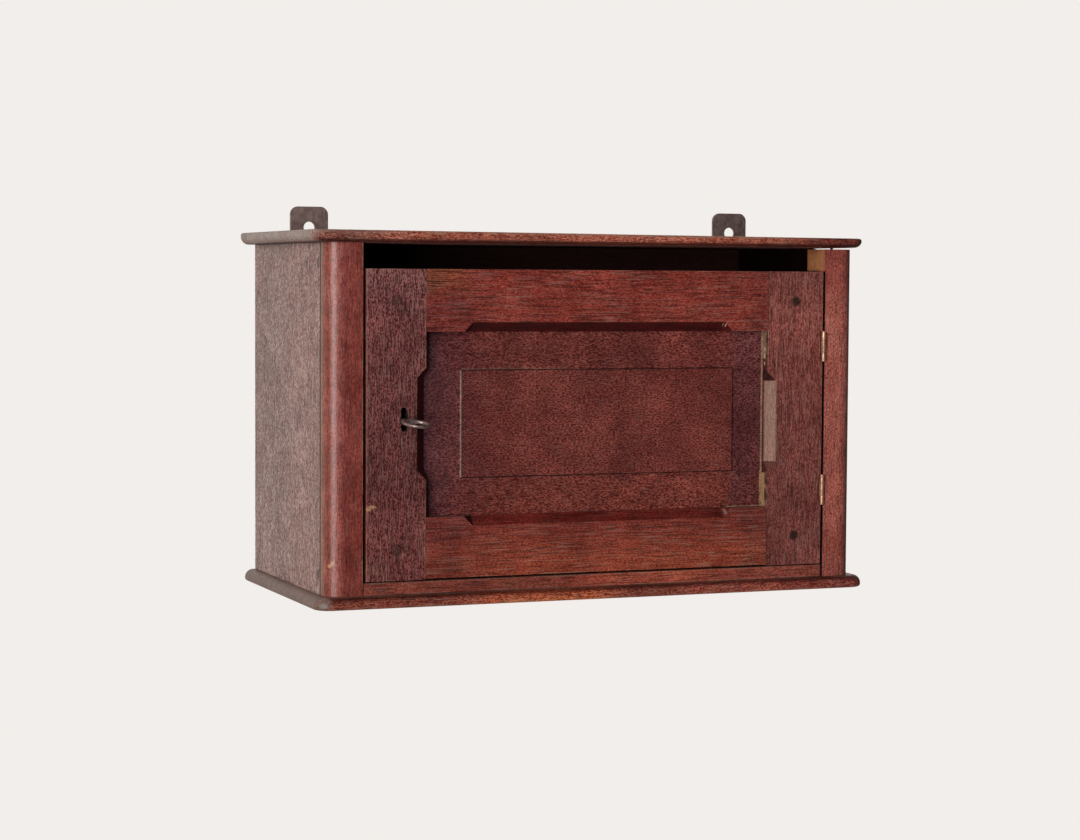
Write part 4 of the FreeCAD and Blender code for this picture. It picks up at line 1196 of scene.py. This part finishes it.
class CABINET_OT_pegs(bpy.types.Operator):
    """Makes the door's draw pegs with geometry nodes"""

    bl_idname = "cabinet.pegs"
    bl_label = "Draw Pegs"

    def execute(self, context):
        look = Oak("Y", (0.070, 0.022, 0.018), (0.13, 0.044, 0.036), ridge=0.4, pore=0.8, gloss=0.6, edge=0.1,
                   bump=0.5, tints=[band("x", 100, 300, (0.45, 0.40, 0.40), 5.0)])
        tree = riven_pegs(oak("door_pegs", look, context.scene.cabinet_wood))
        length, wide = spans("door_pegs")[:2]
        radius = wide / 2 / math.cos(math.pi / PEG_FACETS)
        sizes = {"Radius": radius, "Length": length, "Softening": PEG_SOFTENING}
        fasteners("door_pegs_riven", tree, sizes, "door_pegs", lambda place: (0, 1, 0), "door")
        return {"FINISHED"}


# Ironwork and brass

class CABINET_OT_hinges(bpy.types.Operator):
    """Makes the two brass butts with their pins"""

    bl_idname = "cabinet.hinges"
    bl_label = "Hinges"

    def execute(self, context):
        for place in ("upper", "lower"):
            aged_metal(place + "_hinge_door_leaf", "door", "brass")
            aged_metal(place + "_hinge_post_leaf", "carcass", "brass")
            aged_metal(place + "_hinge_pin", "door", "brass")
        return {"FINISHED"}


class CABINET_OT_hangers(bpy.types.Operator):
    """Makes the two iron hanging plates"""

    bl_idname = "cabinet.hangers"
    bl_label = "Hanging Plates"

    def execute(self, context):
        for side in ("left", "right"):
            aged_metal(side + "_hanger_plate", "carcass", "iron")
        return {"FINISHED"}


class CABINET_OT_lock(bpy.types.Operator):
    """Makes the rim lock, its bolt and its spring"""

    bl_idname = "cabinet.lock"
    bl_label = "Rim Lock"

    def execute(self, context):
        for node in ("lock_plate", "lock_case", "lock_drill_pin", "lock_guide_stud"):
            aged_metal(node, "door", "iron")
        for node in ("lock_bolt", "bolt_spring"):
            aged_metal(node, "bolt", "iron")
        return {"FINISHED"}


def turned(profile, origin, sides=32):
    """A closed turned shape about the line through origin along Y, from (distance along Y, radius) pairs."""
    mesh = bmesh.new()
    turns = [2 * math.pi * i / sides for i in range(sides)]
    rings = []
    for along, radius in profile:
        ring = [Vector((radius * math.cos(a), along, radius * math.sin(a))) for a in turns]
        rings.append([mesh.verts.new(origin + place) for place in ring])
    for first, second in zip(rings, rings[1:] + rings[:1]):
        for i in range(sides):
            j = (i + 1) % sides
            mesh.faces.new((first[i], first[j], second[j], second[i]))
    bmesh.ops.recalc_face_normals(mesh, faces=mesh.faces)
    return mesh


def bow_ring(centre, radius, wire, bend, sides=72, around=20):
    """The key's bow: a forged ring, thinner in front, bent down and twisted a little."""
    mesh = bmesh.new()
    rings = []
    for i in range(sides):
        a = 2 * math.pi * i / sides
        out = Vector((math.cos(a), math.sin(a), 0.0))
        thick = wire * (1.0 + KEY_BOW_TAPER * math.sin(a))
        ring = []
        for k in range(around):
            b = 2 * math.pi * k / around
            place = out * (radius + thick * math.cos(b)) + Vector((0.0, 0.0, thick * math.sin(b)))
            ring.append(mesh.verts.new(centre + bend @ place))
        rings.append(ring)
    for first, second in zip(rings, rings[1:] + rings[:1]):
        for k in range(around):
            n = (k + 1) % around
            mesh.faces.new((first[k], second[k], second[n], first[n]))
    bmesh.ops.recalc_face_normals(mesh, faces=mesh.faces)
    return mesh


def bit_block(low, high, ward_low, ward_high):
    """The key's bit with its ward cut, as an outline pushed through its thickness."""
    corners = [(low.x, low.y), (high.x, low.y), (high.x, ward_low.y), (ward_low.x, ward_low.y),
               (ward_low.x, ward_high.y), (high.x, ward_high.y), (high.x, high.y), (low.x, high.y)]
    mesh = bmesh.new()
    bottom, top = [[mesh.verts.new((x, y, z)) for x, y in corners] for z in (low.z, high.z)]
    mesh.faces.new(bottom[::-1])
    mesh.faces.new(top)
    for i in range(len(corners)):
        j = (i + 1) % len(corners)
        mesh.faces.new((bottom[i], bottom[j], top[j], top[i]))
    bmesh.ops.recalc_face_normals(mesh, faces=mesh.faces)
    return mesh


def joined_mesh(meshes):
    """Closed meshes joined to one skin."""
    names = [f"joining_{i}" for i in range(len(meshes))]
    helpers = [linked(name, mesh_data(name, mesh)) for name, mesh in zip(names, meshes)]
    for other in helpers[1:]:
        modifier = helpers[0].modifiers.new("Join", "BOOLEAN")
        modifier.operation = "UNION"
        modifier.solver = "EXACT"
        modifier.object = other
    data = evaluated(helpers[0])
    for helper in helpers:
        bpy.data.objects.remove(helper)
    mesh = bmesh.new()
    mesh.from_mesh(data)
    bpy.data.meshes.remove(data)
    return mesh


KEY_SHANK = 2.6 * MM
KEY_BORE = 1.55 * MM
KEY_BORE_DEPTH = 14 * MM
KEY_END_CHAMFER = 0.4 * MM
KEY_CORE = 0.4 * MM
KEY_WIRE = 1.45 * MM
KEY_BOW_TAPER = 0.14
KEY_BIT_THICKNESS = 2.4 * MM
KEY_BIT_GAP = 0.6 * MM
KEY_BIT_ROOT = 2.0 * MM
KEY_BIT_REACH = 10.0 * MM
KEY_CASE_GAP = 0.3 * MM
KEY_WARD = 1.2 * MM
KEY_WARD_ROOT = 6.3 * MM
KEY_CREASE = SHARP_ANGLE * 1.2
# The collar's distances from the neck and its radii, in millimetres
KEY_COLLAR = ((-0.8, 0.4), (-0.8, 1.9), (1.2, 2.5), (2.6, 2.6), (3.0, 3.2), (3.6, 3.7), (5.2, 3.7),
              (5.8, 3.2), (6.2, 2.6))


class CABINET_OT_key(bpy.types.Operator):
    """Makes the bored key with its forged ring bow"""

    bl_idname = "cabinet.key"
    bl_label = "Key"

    def execute(self, context):
        metal = context.scene.cabinet_metal
        low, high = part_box("key")
        ring = (KEY_AXIS.x - low.x) - KEY_WIRE
        bow = Vector((KEY_AXIS.x, low.y + ring + KEY_WIRE, KEY_AXIS.z))
        neck = bow.y + ring
        collar = [(neck + along * MM, radius * MM) for along, radius in KEY_COLLAR]
        bore_end = high.y - KEY_BORE_DEPTH
        end = [(high.y - KEY_END_CHAMFER, KEY_SHANK), (high.y, KEY_SHANK - KEY_END_CHAMFER),
               (high.y, KEY_BORE), (bore_end, KEY_BORE), (bore_end, KEY_CORE)]
        shank = turned(collar + end, Vector((KEY_AXIS.x, 0.0, KEY_AXIS.z)))
        half = KEY_BIT_THICKNESS / 2
        bit_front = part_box("lock_plate")[1].y + KEY_BIT_GAP
        bit_back = high.y + KEY_CASE_GAP - KEY_BIT_GAP
        bit_low = Vector((KEY_AXIS.x + KEY_BIT_ROOT, bit_front, KEY_AXIS.z - half))
        bit_high = Vector((KEY_AXIS.x + KEY_BIT_REACH, bit_back, KEY_AXIS.z + half))
        middle = (bit_low.y + bit_high.y) / 2
        ward_low = Vector((KEY_AXIS.x + KEY_WARD_ROOT, middle - KEY_WARD / 2, 0.0))
        ward_high = Vector((bit_high.x, middle + KEY_WARD / 2, 0.0))
        bit = bit_block(bit_low, bit_high, ward_low, ward_high)
        bend = Matrix.Rotation(metal.bow_tilt, 3, "X") @ Matrix.Rotation(metal.bow_twist, 3, "Y")
        mesh = joined_mesh([shank, bow_ring(bow, ring, KEY_WIRE, bend), bit])
        for face in mesh.faces:
            face.smooth = True
        for edge in mesh.edges:
            edge.smooth = edge.calc_face_angle(0.0) < KEY_CREASE
        material = old_metal("rubbed_iron", toned(metal.iron_colour, 1.9), metal.rust_colour, 0.8, 0.24)
        placed("key_forged", mesh_data("key_forged", mesh), material, "key", ["key"])
        return {"FINISHED"}


# Stage

LIGHT_TARGET = Vector((0.0, -0.1, 0.0))
# Each lamp's place, its width and height, and its tone
WINDOW = ((-2.32, -2.40, 0.35), (1.8, 2.0), (1.0, 0.97, 0.93))
FILL = ((0.8, 2.0, 0.9), (1.4, 1.2), (1.0, 0.97, 0.94))
DAYLIGHT = (1.0, 0.975, 0.95)
FLOOR_SIDES = 96
SENSOR_WIDTH = 36.0


def soft_light(name, power, place, size, tone):
    """A large soft lamp aimed at the cabinet."""
    lamp = bpy.data.lights.new(name, "AREA")
    lamp.shape = "RECTANGLE"
    lamp.size, lamp.size_y = size
    lamp.energy = power
    lamp.color = tone
    holder = linked(name, lamp)
    holder.location = place
    holder.rotation_euler = (LIGHT_TARGET - Vector(place)).to_track_quat("-Z", "Y").to_euler()


def pale_floor(stage):
    """A pale round floor below the cabinet."""
    mesh = bmesh.new()
    level = CAD_BOX[0][2] - stage.floor_drop
    bmesh.ops.create_circle(mesh, cap_ends=True, segments=FLOOR_SIDES, radius=stage.floor_radius,
                            matrix=Matrix.Translation((0.0, 0.0, level)))
    bmesh.ops.recalc_face_normals(mesh, faces=mesh.faces)
    material, graph, shader, place = new_material("pale_floor")
    paint = graph.mix(graph.noise(place, 6.0, 4.0), stage.floor_colour, toned(stage.floor_colour, 0.97))
    graph.put(shader.inputs["Base Color"], paint)
    shader.inputs["Roughness"].default_value = 0.8
    floor = linked("floor", mesh_data("floor", mesh))
    floor.data.materials.append(material)


def surroundings(stage):
    """Pale surroundings: bright towards the wall, dimmer towards the room, even for the camera."""
    world = bpy.data.worlds.new("pale_room")
    world.use_nodes = True
    world.node_tree.nodes.clear()
    graph = Graph(world.node_tree)
    across, ahead, upward = graph.parts(graph.node("ShaderNodeTexCoord").outputs["Generated"])
    to_wall = graph.minus(ahead, graph.times(graph.math("MAXIMUM", across, 0.0), 0.6))
    behind = graph.ramp(to_wall, 0.0, 0.5, stage.room_light, stage.wall_light)
    behind = graph.times(behind, graph.ramp(upward, -0.6, 0.1, 0.5, 1.0))
    lit = graph.node("ShaderNodeBackground", {"Color": DAYLIGHT, "Strength": behind})
    seen = graph.node("ShaderNodeBackground", {"Color": stage.backdrop_colour, "Strength": 1.0})
    camera = graph.node("ShaderNodeLightPath").outputs["Is Camera Ray"]
    both = graph.node("ShaderNodeMixShader", {0: camera, 1: lit.outputs[0], 2: seen.outputs[0]})
    graph.node("ShaderNodeOutputWorld", {"Surface": both.outputs[0]})
    bpy.context.scene.world = world


def photo_camera(stage):
    """The camera at the photograph's viewing angle."""
    yaw, pitch, roll = stage.camera_yaw, stage.camera_pitch, stage.camera_roll
    forward = Vector((math.sin(yaw) * math.cos(pitch), math.cos(yaw) * math.cos(pitch), math.sin(pitch)))
    level = Vector((math.cos(yaw), -math.sin(yaw), 0.0))
    down = forward.cross(level)
    right = level * math.cos(roll) + down * math.sin(roll)
    up = level * math.sin(roll) - down * math.cos(roll)
    lens = bpy.data.cameras.new("photo_camera")
    lens.sensor_width = SENSOR_WIDTH
    lens.lens = stage.camera_lens
    camera = linked("photo_camera", lens)
    turn = Matrix((right, up, -forward)).transposed().to_4x4()
    camera.matrix_world = Matrix.Translation(stage.camera_place) @ turn
    bpy.context.scene.camera = camera


class CABINET_OT_stage(bpy.types.Operator):
    """Makes the floor, the light and the camera"""

    bl_idname = "cabinet.stage"
    bl_label = "Stage"

    def execute(self, context):
        stage = context.scene.cabinet_stage
        pale_floor(stage)
        surroundings(stage)
        soft_light("window", stage.window_power, *WINDOW)
        soft_light("fill", stage.fill_power, *FILL)
        photo_camera(stage)
        context.scene.view_settings.view_transform = "Standard"
        return {"FINISHED"}


OPERATORS = (CABINET_OT_case_woodwork, CABINET_OT_plain_boards, CABINET_OT_door_woodwork, CABINET_OT_pegs,
             CABINET_OT_nails, CABINET_OT_screws, CABINET_OT_hinges, CABINET_OT_lock, CABINET_OT_key,
             CABINET_OT_hangers, CABINET_OT_stage)


class CABINET_PT_dressing(bpy.types.Panel):
    """Lists the steps that dress the cabinet"""

    bl_idname = "CABINET_PT_dressing"
    bl_label = "Wall Cabinet"
    bl_space_type = "VIEW_3D"
    bl_region_type = "UI"
    bl_category = "Cabinet"

    def draw(self, context):
        for group in (context.scene.cabinet_wood, context.scene.cabinet_metal, context.scene.cabinet_stage):
            for name in group.__annotations__:
                self.layout.prop(group, name)
        for operator in OPERATORS:
            self.layout.operator(operator.bl_idname)


CLASSES = (CabinetWood, CabinetMetal, CabinetStage) + OPERATORS + (CABINET_PT_dressing,)


def register():
    for item in CLASSES:
        bpy.utils.register_class(item)
    bpy.types.Scene.cabinet_wood = bpy.props.PointerProperty(type=CabinetWood)
    bpy.types.Scene.cabinet_metal = bpy.props.PointerProperty(type=CabinetMetal)
    bpy.types.Scene.cabinet_stage = bpy.props.PointerProperty(type=CabinetStage)


def unregister():
    del bpy.types.Scene.cabinet_stage
    del bpy.types.Scene.cabinet_metal
    del bpy.types.Scene.cabinet_wood
    for item in reversed(CLASSES):
        bpy.utils.unregister_class(item)


def main():
    """Dresses the cabinet step by step."""
    register()
    for operator in OPERATORS:
        group, name = operator.bl_idname.split(".")
        getattr(getattr(bpy.ops, group), name)()


if __name__ == "__main__":
    main()
